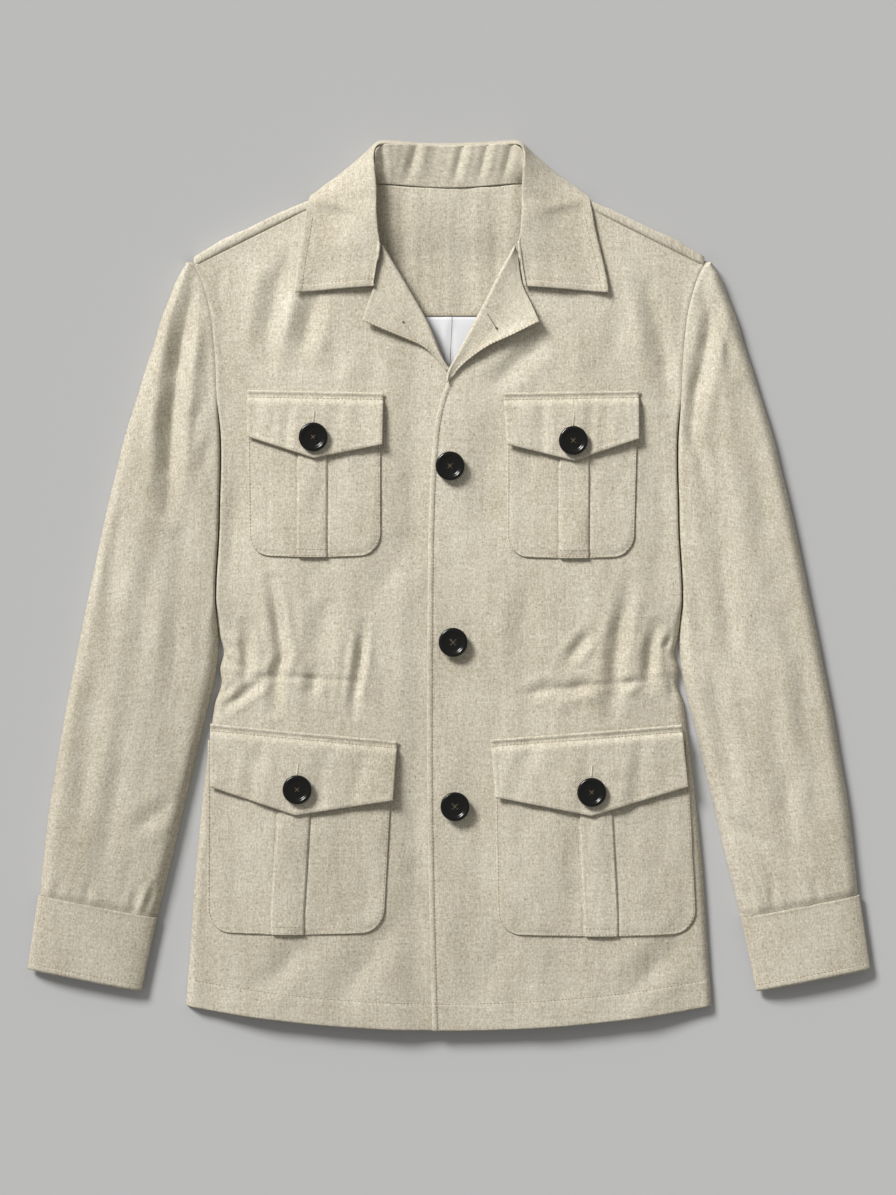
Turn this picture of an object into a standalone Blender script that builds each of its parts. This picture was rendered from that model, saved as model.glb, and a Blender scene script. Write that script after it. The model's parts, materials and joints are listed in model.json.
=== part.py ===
"""Safari jacket, laid flat on its back: every panel is a wall of cloth at its real size.

Frame: the back lies on z = 0, the collar points to +Y, the wearer's left is at +X.
All sizes below are in millimetres and become metres when a mesh is made.
"""

import math

import bmesh
import bpy

MM = 0.001

# Driving sizes of the garment
HEM_SIDE_Y = -373.0         # hem at the side seams
HEM_DIP = 21.5              # how much lower the hem is at the middle
ARMPIT_Y = 132.0
NECK_SEAM_Y = 352.5         # back neck seam at the middle
FACING_END_Y = 239.0        # where the neck facing gives way to the lining
LINING_END_Y = 60.0

# Thicknesses and clearances
CLOTH = 1.6
POCKET_CLOTH = 1.4
LINING_CLOTH = 1.0
NECK_FACING_CLOTH = 1.2
CUFF_CLOTH = 2.0
GAP = 0.3
LOOSE_GAP = 0.6             # under the collar and the neck facing
SEAT_GAP = 0.4              # under the revers, where they touch the fronts
FLOOR_INSET = 3.0           # how far a panel on the floor lies inside the wall above it

# Heights of the garment as it lies
EDGE_HEIGHT = 9.0           # top of the rolled side
EDGE_ROLL = 8.0             # how far in from the side the roll reaches
CROWN = 7.0                 # extra height in the middle of the body
CROWN_REACH = 80.0
SEAM_HEIGHT = 12.5          # height at the armhole and shoulder seams
ARMHOLE_BLEND = 34.0        # above the armpit, the side opens into the armhole over this length
SHOULDER_BLEND = 45.0       # the front comes down to the shoulder seam over this length
FOLD_FADE = 10.0            # folds die out this close to the side
FOLD_END_SHARE = 0.45       # depth of a fold at its ends, as a share of its middle
FOLD_REACH = 3.0            # half widths after which a fold no longer counts
SLEEVE_CROWN = 2.5
SLEEVE_ROLL = 11.0
SLEEVE_ROLL_SHARE = 0.4     # the most of a sleeve's width that one rolled side takes
CUFF_HEIGHT = 12.5
CUFF_CROWN = 1.2
HIDDEN_LEAF_LIFT = 2.1      # the back rides over the collar leaf folded under it
LIFT_FROM_Y = 285.0
LIFT_LENGTH = 36.0
LIFT_HALF_WIDTH = 150.0
LIFT_SIDE_LENGTH = 28.0

# Overlap of the fronts
UNDER_EDGE_X = 19.0
OVERLAP_DROP = CLOTH + GAP + 0.1
DROP_FROM_X = -50.0
DROP_TO_X = -26.0

# Side of the body and armhole, hem to shoulder: y, distance from the middle
SIDE = [
    (-395.0, 235.5),
    (-373.0, 234.0),
    (-331.0, 231.0),
    (-252.0, 225.5),
    (-173.0, 217.5),
    (-122.0, 211.0),
    (-105.0, 208.5),
    (-86.0, 202.5),
    (-74.0, 204.0),
    (-60.0, 200.5),
    (-45.0, 204.0),
    (60.0, 204.0),
    (132.0, 203.2),
    (166.0, 205.8),
    (212.0, 208.2),
    (250.0, 213.6),
    (273.0, 220.8),
    (284.0, 226.5),
    (290.0, 231.0),
]

# Shoulder: distance from the middle, y of the outline, y of the seam
SHOULDER = [
    (64.0, 358.0, 351.6),
    (100.0, 349.5, 340.5),
    (126.0, 341.0, 332.5),
    (150.0, 331.0, 320.5),
    (180.0, 316.4, 305.5),
    (200.0, 307.5, 295.5),
    (214.5, 298.6, 288.3),
    (230.0, 289.5, 280.5),
]
WRAP_DEPTH = 6.0            # half the height of the fold along the shoulder
WRAP_FROM_X = 84.0          # the fold starts beside the neck
WRAP_STEPS = 5
NECK_ROW_STEP = 0.1         # beside the fold, its rows lie this far apart at the neck
BACK_TOP_X = [0.0, 30.0, 60.0, 73.5, 84.0, 105.0, 126.0, 160.0, 194.0, 226.0]
BACK_SIDE_Y = [-373.0, -252.0, -122.0, -86.0, -60.0, -45.0, 60.0, 132.0, 166.0, 200.0,
               228.0, 250.0, 270.0, 284.0]
NECK_CURVE = 4.2            # how much higher the neck seam is at its ends
NECK_HALF = 66.0
BACK_TOP_CLEAR = 0.5        # the back's top edge lies this far below the neck seam
FACING_TOP_CLEAR = 1.5
NECK_FACING_HALF = (88.0, 68.0)
LINING_HALF = (176.0, 150.0)

# Fronts, hem to shoulder seam: x and y at the front edge, y at the side
FRONT_RIGHT_ROWS = [
    (UNDER_EDGE_X, -394.5, -373.0),
    (UNDER_EDGE_X, -345.0, -327.0),
    (UNDER_EDGE_X, -292.0, -278.0),
    (UNDER_EDGE_X, -240.0, -230.0),
    (UNDER_EDGE_X, -193.0, -186.0),
    (UNDER_EDGE_X, -152.0, -147.0),
    (UNDER_EDGE_X, -128.0, -125.0),
    (UNDER_EDGE_X, -112.0, -110.0),
    (UNDER_EDGE_X, -101.0, -100.0),
    (UNDER_EDGE_X, -92.0, -92.0),
    (UNDER_EDGE_X, -84.0, -84.0),
    (UNDER_EDGE_X, -76.0, -76.0),
    (UNDER_EDGE_X, -68.0, -68.0),
    (UNDER_EDGE_X, -59.0, -59.0),
    (UNDER_EDGE_X, -48.0, -48.0),
    (UNDER_EDGE_X, -34.0, -34.0),
    (UNDER_EDGE_X, -12.0, -12.0),
    (UNDER_EDGE_X, 16.0, 16.0),
    (UNDER_EDGE_X, 48.0, 46.0),
    (UNDER_EDGE_X, 82.0, 76.0),
    (UNDER_EDGE_X, 114.0, 106.0),
    (17.0, 145.0, 132.0),
    (10.0, 170.0, 148.0),
    (-3.0, 192.0, 166.0),
    (-17.0, 218.0, 186.0),
    (-30.0, 241.0, 206.0),
    (-43.0, 263.0, 226.0),
    (-55.0, 284.0, 244.0),
    (-68.5, 303.0, 259.0),
    (-71.8, 322.0, 271.0),
    (-72.5, 338.0, 278.0),
    (-72.5, 350.0, 282.5),
]
FRONT_LEFT_EDGE = [
    (-14.6, -393.0),
    (-16.2, -345.0),
    (-17.5, -292.0),
    (-18.6, -240.0),
    (-19.2, -193.0),
    (-19.6, -152.0),
    (-19.6, -128.0),
    (-19.6, -112.0),
    (-19.5, -101.0),
    (-19.5, -92.0),
    (-19.4, -84.0),
    (-19.4, -76.0),
    (-19.3, -68.0),
    (-19.3, -59.0),
    (-19.2, -48.0),
    (-19.1, -34.0),
    (-19.0, -12.0),
    (-18.8, 16.0),
    (-18.3, 48.0),
    (-17.2, 82.0),
    (-15.4, 114.0),
    (-12.2, 145.0),
    (-5.0, 172.0),
    (7.0, 193.5),
    (17.0, 211.0),
    (29.0, 233.0),
    (41.0, 256.0),
    (53.5, 280.0),
    (68.5, 303.0),
    (71.8, 322.0),
    (72.5, 338.0),
    (72.5, 350.0),
]

# Folds of the body: depth (a ridge is below zero), half width, then x and y along it
BODY_FOLDS = [
    (2.6, 8.0, (-179.0, -50.0), (-178.0, -76.0)),
    (3.0, 8.5, (-151.0, -38.0), (-152.0, -78.0)),
    (2.6, 8.0, (-152.5, -90.0), (-153.0, -108.0)),
    (2.2, 8.0, (-180.0, -88.0), (-178.0, -106.0)),
    (2.4, 9.0, (-120.0, -84.0), (-119.0, -104.0)),
    (2.6, 8.5, (-81.0, -56.0), (-81.0, -98.0)),
    (2.2, 11.0, (-108.0, -36.0), (-108.5, -64.0)),
    (1.6, 8.0, (-52.0, -62.0), (-52.0, -92.0)),
    (-1.6, 8.0, (-165.0, -46.0), (-165.0, -104.0)),
    (-1.6, 9.0, (-134.0, -48.0), (-135.0, -102.0)),
    (-1.4, 9.0, (-97.0, -56.0), (-98.0, -96.0)),
    (1.3, 6.0, (-196.0, -81.0), (-66.0, -82.0)),
    (2.5, 9.0, (154.0, -30.0), (153.0, -56.0)),
    (3.0, 8.5, (180.0, -52.0), (180.5, -90.0)),
    (2.8, 8.5, (147.0, -78.0), (145.0, -110.0)),
    (2.2, 9.0, (109.5, -84.0), (109.0, -102.0)),
    (2.2, 9.0, (83.0, -84.0), (84.0, -104.0)),
    (2.2, 9.0, (102.0, -46.0), (102.5, -66.0)),
    (1.6, 9.0, (128.0, -50.0), (127.0, -70.0)),
    (-1.6, 8.0, (166.0, -42.0), (165.0, -104.0)),
    (-1.5, 9.0, (125.0, -80.0), (125.0, -108.0)),
    (-1.4, 9.0, (96.0, -66.0), (96.0, -100.0)),
    (1.3, 6.0, (196.0, -87.0), (62.0, -88.0)),
    (2.4, 12.0, (-143.0, 300.0), (-160.0, 254.0)),
    (2.2, 11.0, (-126.0, 236.0), (-138.0, 196.0)),
    (1.8, 12.0, (178.0, 292.0), (192.0, 216.0)),
    (1.8, 14.0, (-24.0, 36.0), (-62.0, 4.0)),
    (1.6, 12.0, (44.0, 176.0), (30.0, 118.0)),
    (1.6, 16.0, (-190.0, 128.0), (-196.0, 20.0)),
    (1.5, 15.0, (189.0, 120.0), (193.0, 10.0)),
    (1.5, 16.0, (-30.0, -230.0), (-34.0, -370.0)),
    (1.5, 16.0, (24.0, -240.0), (28.0, -380.0)),
]

# Sleeve, shoulder to cuff: distance from the middle and y at the inner edge, then at the outer
SLEEVE_ROWS = [
    (229.0, 286.6, 234.4, 286.2),
    (228.6, 283.4, 236.0, 282.8),
    (223.2, 275.4, 243.0, 270.5),
    (219.0, 265.0, 249.5, 254.0),
    (214.6, 250.5, 256.5, 236.0),
    (211.7, 232.0, 262.5, 215.0),
    (209.0, 212.0, 269.5, 194.0),
    (207.6, 190.0, 276.5, 171.0),
    (206.6, 168.0, 284.5, 146.0),
    (205.4, 150.0, 290.0, 127.0),
    (205.0, 132.5, 295.0, 105.5),
    (205.2, 114.0, 299.5, 88.0),
    (205.3, 86.0, 306.2, 59.5),
    (205.4, 55.0, 312.8, 28.5),
    (205.4, 25.0, 318.8, -0.5),
    (205.3, -4.0, 324.5, -28.0),
    (205.2, -30.0, 329.4, -52.0),
    (205.2, -55.0, 334.0, -76.0),
    (207.3, -78.0, 338.3, -97.0),
    (213.2, -104.0, 342.5, -119.0),
    (221.8, -137.0, 347.0, -147.0),
    (229.8, -172.0, 352.2, -176.0),
    (238.2, -207.0, 356.4, -204.0),
    (246.5, -243.0, 359.5, -232.0),
    (253.8, -272.0, 362.2, -256.0),
    (259.5, -294.3, 363.7, -274.0),
]
CAP_END_SHARE = 0.6         # height of the sleeve at its very top, as a share
CAP_ROWS = 3                # rows of the cap that have no half on the floor

# Folds of the sleeves, in the same form as the body's
SLEEVE_FOLDS = [
    (3.2, 11.0, (-224.0, 268.0), (-236.7, 211.0), (-245.6, 132.0), (-248.0, 64.0)),
    (2.2, 16.0, (-262.0, 60.0), (-284.0, -10.0), (-292.0, -70.0)),
    (1.8, 18.0, (-300.0, -150.0), (-306.0, -220.0)),
    (1.6, 7.0, (-268.0, -262.0), (-272.0, -291.0)),
    (2.8, 11.0, (222.0, 268.0), (229.0, 206.0), (222.0, 146.0), (219.0, 76.0)),
    (2.2, 17.0, (268.0, 84.0), (290.0, 14.0), (296.0, -52.0)),
    (1.8, 18.0, (290.0, -140.0), (312.0, -214.0)),
    (1.6, 7.0, (276.0, -258.0), (284.0, -288.0)),
]

# Cuff seam and cuff end: distance from the middle and y, inner edge then outer edge
CUFF_TOP = ((259.2, -295.0), (364.6, -274.6))
CUFF_END = ((273.0, -360.3), (374.4, -340.4))
CUFF_RING_POINTS = 26
CUFF_RINGS = 2
CUFF_END_POWER = 0.35       # gathers the ring's points towards its round ends

# Revers: x and y on the roll, x and y on the outer edge, lift of the outer edge
FACING_RIGHT_ROWS = [
    (-8.2, 203.0, -11.0, 200.6, 0.0),
    (-11.5, 210.0, -24.0, 211.6, 0.6),
    (-18.5, 227.0, -51.0, 223.0, 2.4),
    (-26.0, 242.0, -76.5, 233.6, 3.8),
    (-37.5, 261.5, -72.3, 247.5, 2.0),
    (-49.0, 281.0, -67.3, 263.0, 0.4),
    (-57.0, 295.0, -64.4, 280.0, 0.0),
    (-59.6, 300.0, -61.9, 295.5, 0.0),
]
FACING_LEFT_ROWS = [
    (-1.5, 180.0, 1.8, 182.2, 0.0),
    (0.9, 190.5, 13.4, 196.2, 1.6),
    (9.0, 205.0, 34.7, 211.4, 3.4),
    (17.0, 219.5, 57.0, 221.5, 4.4),
    (25.0, 234.0, 79.7, 232.7, 4.6),
    (37.0, 257.0, 73.0, 248.0, 2.4),
    (48.0, 279.0, 65.2, 265.2, 0.6),
    (56.0, 294.0, 62.2, 281.0, 0.0),
    (58.4, 299.6, 60.6, 295.0, 0.0),
]
ROLL_RISE = 3.0             # how high the revers stand at their roll
REVERS_CURL = ((1.5, 1.0), (2.3, 3.0), (2.1, 5.0))  # back from the roll, and down
REVERS_FULL_CURL = 12.0     # width from which a revers has its whole curl

# Collar on the front, gorge upward, for the wearer's right: the fold's x, y and rise,
# the outer edge's x and y, and how far the fold curls over (0 at the gorge seam)
COLLAR_FRONT_ROWS = [
    (-68.1, 264.3, 0.8, -134.4, 258.5, 0.0),
    (-67.0, 271.0, 0.8, -133.9, 268.0, 0.0),
    (-65.6, 279.5, 1.0, -133.0, 279.0, 0.0),
    (-63.9, 290.0, 1.8, -131.8, 291.5, 0.0),
    (-62.5, 302.5, 3.6, -130.4, 304.0, 0.4),
    (-64.5, 316.0, 6.4, -128.8, 317.0, 0.8),
    (-65.6, 330.0, 9.0, -127.2, 328.5, 1.0),
]
# Collar over the shoulder and behind the neck: x, y and height of the fold, the middle,
# the turn at the outline, where it lands on the floor, and the hidden edge
COLLAR_BACK_ROWS = [
    ((-66.0, 341.5, 24.8), (-92.0, 341.5, 19.0), (-114.0, 340.5, 16.4),
     (-119.5, 340.0, 15.6), (-124.8, 339.5, 14.8)),
    ((-66.3, 349.5, 25.4), (-91.0, 351.0, 17.6), (-113.0, 349.5, 11.5),
     (-118.0, 348.8, 9.6), (-122.6, 347.0, 7.5)),
    ((-66.7, 357.0, 25.7), (-89.0, 359.0, 16.0), (-108.0, 356.5, 7.0),
     (-114.5, 352.5, 1.6), (-118.5, 344.5, 0.0)),
    ((-67.1, 364.5, 25.6), (-85.0, 367.0, 14.8), (-98.5, 364.4, 5.0),
     (-103.0, 357.5, 0.0), (-112.0, 336.0, 0.0)),
    ((-67.4, 372.0, 25.0), (-81.0, 374.0, 14.2), (-89.5, 371.8, 5.0),
     (-92.5, 365.0, 0.0), (-102.0, 332.5, 0.0)),
    ((-67.4, 379.0, 24.0), (-75.5, 380.5, 13.8), (-81.0, 378.8, 5.0),
     (-83.5, 372.0, 0.0), (-91.0, 331.5, 0.0)),
    ((-66.2, 385.5, 22.6), (-70.5, 387.0, 13.2), (-73.0, 385.4, 5.0),
     (-74.5, 378.5, 0.0), (-79.0, 331.5, 0.0)),
    ((-62.0, 390.2, 20.8), (-63.2, 393.4, 12.6), (-63.8, 391.6, 4.6),
     (-64.5, 385.0, 0.0), (-66.0, 332.0, 0.0)),
    ((-53.0, 391.0, 18.0), (-53.4, 394.4, 11.0), (-53.5, 392.4, 4.2),
     (-53.5, 386.0, 0.0), (-53.0, 332.0, 0.0)),
    ((-40.0, 390.6, 15.6), (-40.0, 393.8, 9.8), (-40.0, 392.0, 3.8),
     (-40.0, 386.0, 0.0), (-40.0, 332.0, 0.0)),
    ((-26.0, 390.0, 14.2), (-26.0, 393.2, 9.0), (-26.0, 391.4, 3.5),
     (-26.0, 385.5, 0.0), (-26.0, 332.0, 0.0)),
    ((-13.0, 389.6, 13.4), (-13.0, 392.8, 8.6), (-13.0, 391.0, 3.4),
     (-13.0, 385.0, 0.0), (-13.0, 332.0, 0.0)),
    ((0.0, 389.4, 13.2), (0.0, 392.6, 8.4), (0.0, 390.8, 3.4),
     (0.0, 385.0, 0.0), (0.0, 332.0, 0.0)),
]
CURL_IN = 1.4               # how far the fold of the collar curls back towards the neck
CURL_DOWN = 3.4
LEAF_EDGE_LIFT = 1.4
LEAF_RISE_SHARE = 0.7       # the leaf comes down to the front in this share of its width
GORGE_STEP = 0.02           # the gorge row starts with one short step
CORNER_X = -66.0            # where the top edge of the collar turns round its corner

# Stand of the collar, gorge to the middle of the back: seam x, y, height, top x, y, height
STAND_ROWS = [
    (-65.8, 306.0, 15.6, -63.6, 305.0, 17.4),
    (-68.2, 318.0, 14.2, -65.3, 317.0, 18.8),
    (-69.6, 331.0, 13.2, -66.3, 331.0, 20.2),
    (-70.2, 342.0, 12.2, -66.7, 344.5, 20.8),
    (-70.4, 350.0, 10.4, -66.9, 356.0, 21.4),
    (-69.4, 355.5, 7.4, -67.0, 366.5, 21.2),
    (-65.6, 357.2, 5.4, -66.4, 375.5, 19.8),
    (-58.0, 356.4, 5.2, -63.6, 382.0, 17.8),
    (-48.0, 355.4, 5.2, -54.0, 385.6, 14.6),
    (-36.0, 354.4, 5.2, -40.0, 386.0, 12.4),
    (-24.0, 353.4, 5.2, -26.0, 385.8, 11.0),
    (-12.0, 352.8, 5.2, -13.0, 385.4, 10.2),
    (0.0, 352.6, 5.2, 0.0, 385.2, 10.0),
]
STAND_COLUMNS = 3

# Pockets: middle x at the top and bottom, half width at the top and bottom, bottom y,
# corner radius, middle x of the box pleat at the top and bottom, its half width
POCKETS = {
    "chest_pocket_right": (-119.6, -119.0, 58.9, 58.4, 27.5, 18.0, -121.0, -121.0, 12.1),
    "chest_pocket_left": (109.2, 107.6, 57.8, 56.4, 26.5, 18.0, 110.8, 110.6, 12.4),
    "lower_pocket_right": (-131.8, -135.7, 82.0, 78.8, -306.5, 20.0, -133.6, -142.6, 13.6),
    "lower_pocket_left": (125.6, 130.6, 85.4, 88.0, -308.0, 20.0, 126.6, 134.6, 13.9),
}
POCKET_UNDER_FLAP = 15.0    # the pocket starts this far below the flap's seam
POCKET_SAG = 2.5            # the bottom edge is lowest at the middle
PLEAT_RAISE = 1.2
PLEAT_STEP = 0.8
PANEL_COLUMNS = 3           # columns of a pocket on each side of its pleat
POCKET_STRAIGHT_ROWS = 4
POCKET_CORNER_ROWS = 4

# Flaps: corner points (x, y) top left, top right, bottom right, tip, bottom left
FLAPS = {
    "chest_flap_right": ((-178.4, 173.1), (-57.8, 170.4), (-58.7, 124.2), (-119.3, 112.2),
                         (-178.9, 131.7)),
    "chest_flap_left": ((48.1, 170.4), (168.2, 172.6), (168.2, 129.5), (110.6, 109.9),
                        (50.7, 124.6)),
    "lower_flap_right": ((-211.5, -122.4), (-45.4, -137.5), (-49.3, -190.0), (-135.3, -203.4),
                         (-211.9, -178.4)),
    "lower_flap_left": ((36.5, -136.2), (206.5, -123.3), (212.0, -178.4), (125.8, -204.0),
                        (40.9, -187.3)),
}
FLAP_RAMP = 9.0             # the flap climbs over the pocket's edge in this distance
FLAP_SEAM = 3.0             # the flap lies flat on the front in this strip
FLAP_EASE = 0.2             # extra clearance over the pocket
FLAP_COLUMNS = 8
FLAP_ROWS = (0.0, 0.07, 0.15, 0.27, 0.5, 0.75, 1.0)

# Buttons: x and y of the middle
BUTTONS = {
    "front_button_1": (0.9, 105.5),
    "front_button_2": (3.6, -50.3),
    "front_button_3": (5.3, -195.4),
    "chest_button_right": (-119.7, 130.8),
    "chest_button_left": (109.6, 127.7),
    "lower_button_right": (-133.9, -180.2),
    "lower_button_left": (125.8, -182.5),
}
BUTTON_PROFILE = [
    (0.0, 2.5),
    (8.0, 2.5),
    (9.4, 3.7),
    (11.6, 4.2),
    (12.9, 3.0),
    (12.6, 0.9),
    (10.5, 0.0),
    (0.0, 0.0),
]
BUTTON_RADIUS = 12.9
BUTTON_STEPS = 14

# Columns of the grids
BODY_COLUMNS = 15
ROLL_COLUMNS = 4
SLEEVE_MIDDLE_COLUMNS = 4
UNDER_COLUMNS = 2
LEAF_COLUMNS = 10
FACING_COLUMNS = 6
LINING_COLUMNS = 6
LINING_ROWS = 5
SMOOTH_ANGLE = 40.0         # edges sharper than this stay sharp

# Colours, roughness
FINISHES = {
    "linen": ((0.58, 0.53, 0.41, 1.0), 0.88),
    "lining": ((0.68, 0.67, 0.65, 1.0), 0.55),
    "button": ((0.012, 0.012, 0.013, 1.0), 0.18),
}


def smooth(value):
    """A soft step from 0 to 1."""
    value = min(max(value, 0.0), 1.0)
    return value * value * (3.0 - 2.0 * value)


def mix(a, b, share):
    return a + (b - a) * share


def from_table(rows, key, column=1):
    """Read a column of a table at a value of its first column, along straight lines."""
    if key <= rows[0][0]:
        return rows[0][column]
    for low, high in zip(rows, rows[1:]):
        if key <= high[0]:
            return mix(low[column], high[column], (key - low[0]) / (high[0] - low[0]))
    return rows[-1][column]


def distance_along(x, y, points):
    """Distance from a polyline, and the share of its length at the nearest point."""
    lengths = [math.dist(a, b) for a, b in zip(points, points[1:])]
    best = (1e9, 0.0)
    done = 0.0
    for a, b, length in zip(points, points[1:], lengths):
        share = ((x - a[0]) * (b[0] - a[0]) + (y - a[1]) * (b[1] - a[1])) / length ** 2
        share = min(max(share, 0.0), 1.0)
        away = math.hypot(x - mix(a[0], b[0], share), y - mix(a[1], b[1], share))
        best = min(best, (away, (done + share * length) / sum(lengths)))
        done += length
    return best


def fold_depth(x, y, folds):
    """Sum of the folds at a point: each is deepest in its middle and fades at its ends."""
    total = 0.0
    for depth, half_width, *points in folds:
        away, share = distance_along(x, y, points)
        if away < FOLD_REACH * half_width:
            ends = mix(FOLD_END_SHARE, 1.0, math.sin(math.pi * share))
            total += depth * ends * math.exp(-(away / half_width) ** 2)
    return total


def quarter_roll(distance, reach):
    """Height share of a rolled edge at a distance from the edge."""
    share = min(max(distance / reach, 0.0), 1.0)
    return math.sqrt(1.0 - (1.0 - share) ** 2)


def seam_share(y):
    """0 below the armpit, where the side comes down to the floor, and 1 up the armhole."""
    return smooth((y - ARMPIT_Y) / ARMHOLE_BLEND)


def side_x(y):
    """Where a front ends at the side or armhole, as a distance from the middle."""
    return from_table(SIDE, y) - GAP / 2.0


def body_height(x, y):
    """Outer surface of the fronts, as if neither front were under the other."""
    inside = side_x(y) - abs(x)
    share = seam_share(y)
    rolled = EDGE_HEIGHT * quarter_roll(inside, EDGE_ROLL)
    height = mix(rolled, SEAM_HEIGHT, share)
    crown = mix(CROWN, CROWN - (SEAM_HEIGHT - EDGE_HEIGHT), share)
    height += crown * smooth(inside / CROWN_REACH)
    near_side = smooth(inside / FOLD_FADE)
    return height - near_side * fold_depth(x, y, BODY_FOLDS)


def under_drop(x):
    """How much lower the under front lies where the other front covers it."""
    return OVERLAP_DROP * smooth((x - DROP_FROM_X) / (DROP_TO_X - DROP_FROM_X))


def shoulder_fade(x, y):
    """Brings the front down to the seam height at the shoulder seam."""
    away = from_table(SHOULDER, abs(x), 2) - y
    return smooth(away / SHOULDER_BLEND)


def front_height(x, y):
    """Outer surface of whichever front shows, with the shoulder brought down."""
    return mix(SEAM_HEIGHT, body_height(x, y), shoulder_fade(x, y))


def back_lift(x, y):
    """The back rises over the hidden leaf of the collar."""
    along = smooth((y - LIFT_FROM_Y) / LIFT_LENGTH)
    across = smooth((LIFT_HALF_WIDTH - abs(x)) / LIFT_SIDE_LENGTH)
    return HIDDEN_LEAF_LIFT * along * across


def make_material(name):
    colour, roughness = FINISHES[name]
    material = bpy.data.materials.new(name)
    material.use_nodes = True
    shader = material.node_tree.nodes["Principled BSDF"]
    shader.inputs["Base Color"].default_value = colour
    shader.inputs["Roughness"].default_value = roughness
    shader.inputs["Metallic"].default_value = 0.0
    return material


def add_object(name, mesh, finish):
    """Put a mesh in the jacket's collection with a material of its own."""
    piece = bpy.data.objects.new(name, mesh)
    material = make_material(finish)
    material.name = name + "_" + finish
    mesh.materials.append(material)
    mesh.shade_smooth()
    mesh.set_sharp_from_angle(angle=math.radians(SMOOTH_ANGLE))
    bpy.data.collections["safari_jacket"].objects.link(piece)
    piece.parent = bpy.data.objects["jacket_origin"]
    return piece


def grid_normals(grid):
    """Unit normals of a grid of points, from its neighbours along and across."""
    last_row = len(grid) - 1
    last_column = len(grid[0]) - 1
    normals = []
    for i, row in enumerate(grid):
        line = []
        for j in range(len(row)):
            a = grid[max(i - 1, 0)][j]
            b = grid[min(i + 1, last_row)][j]
            c = row[max(j - 1, 0)]
            d = row[min(j + 1, last_column)]
            along = [b[k] - a[k] for k in range(3)]
            across = [d[k] - c[k] for k in range(3)]
            normal = (across[1] * along[2] - across[2] * along[1],
                      across[2] * along[0] - across[0] * along[2],
                      across[0] * along[1] - across[1] * along[0])
            size = math.hypot(*normal)
            line.append([part / size for part in normal])
        normals.append(line)
    return normals


def wall_from_grids(name, outer, inner, finish, ring=False):
    """Close two grids of points into one wall: two faces and a rim."""
    mesh = bpy.data.meshes.new(name)
    form = bmesh.new()
    rows, columns = len(outer), len(outer[0])
    verts = [[[form.verts.new([part * MM for part in point]) for point in row] for row in grid]
             for grid in (outer, inner)]
    spans = columns if ring else columns - 1
    for i in range(rows - 1):
        for j in range(spans):
            k = (j + 1) % columns
            for side in verts:
                form.faces.new((side[i][j], side[i][k], side[i + 1][k], side[i + 1][j]))
    for j in range(spans):
        k = (j + 1) % columns
        for i in (0, rows - 1):
            form.faces.new((verts[0][i][j], verts[0][i][k], verts[1][i][k], verts[1][i][j]))
    if not ring:
        for i in range(rows - 1):
            for j in (0, columns - 1):
                form.faces.new((verts[0][i][j], verts[0][i + 1][j],
                                verts[1][i + 1][j], verts[1][i][j]))
    bmesh.ops.recalc_face_normals(form, faces=form.faces)
    form.to_mesh(mesh)
    form.free()
    return add_object(name, mesh, finish)


def cloth_wall(name, outer, thickness, finish, faces_up=True, flat_row=None):
    """Give a grid of outer points its thickness, along its normals and never below the floor.

    flat_row is a row whose middle plainly faces up or down, the middle row if none is given.
    """
    normals = grid_normals(outer)
    line = normals[len(normals) // 2 if flat_row is None else flat_row]
    inward = -thickness if (line[len(line) // 2][2] > 0.0) == faces_up else thickness
    inner = []
    for row, line in zip(outer, normals):
        inner.append([])
        for point, normal in zip(row, line):
            moved = [point[k] + inward * normal[k] for k in range(3)]
            moved[2] = max(moved[2], 0.0)
            inner[-1].append(moved)
    return wall_from_grids(name, outer, inner, finish)


def laid_wall(name, bottom, thickness, finish):
    """Give a grid that lies on a panel its thickness, straight up."""
    top = [[(x, y, z + thickness) for x, y, z in row] for row in bottom]
    return wall_from_grids(name, top, bottom, finish)


def curve_points(controls, count):
    """Points evenly spread by parameter on a smooth curve through control points."""
    last = len(controls) - 1
    points = []
    for step in range(count):
        place = last * step / (count - 1)
        index = min(int(place), last - 1)
        t = place - index
        before = controls[max(index - 1, 0)]
        start = controls[index]
        end = controls[index + 1]
        after = controls[min(index + 2, last)]
        point = []
        for k in range(3):
            a = 2.0 * start[k]
            b = end[k] - before[k]
            c = 2.0 * before[k] - 5.0 * start[k] + 4.0 * end[k] - after[k]
            d = 3.0 * start[k] - before[k] - 3.0 * end[k] + after[k]
            point.append(0.5 * (a + b * t + c * t * t + d * t ** 3))
        points.append(point)
    return points


def front_columns():
    """Even columns over a front, then the angles of its rolled side."""
    flat = [("flat", j / BODY_COLUMNS) for j in range(BODY_COLUMNS)]
    rolled = [("roll", math.pi / 2.0 * (1.0 - j / ROLL_COLUMNS)) for j in range(ROLL_COLUMNS + 1)]
    return flat + rolled


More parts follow.
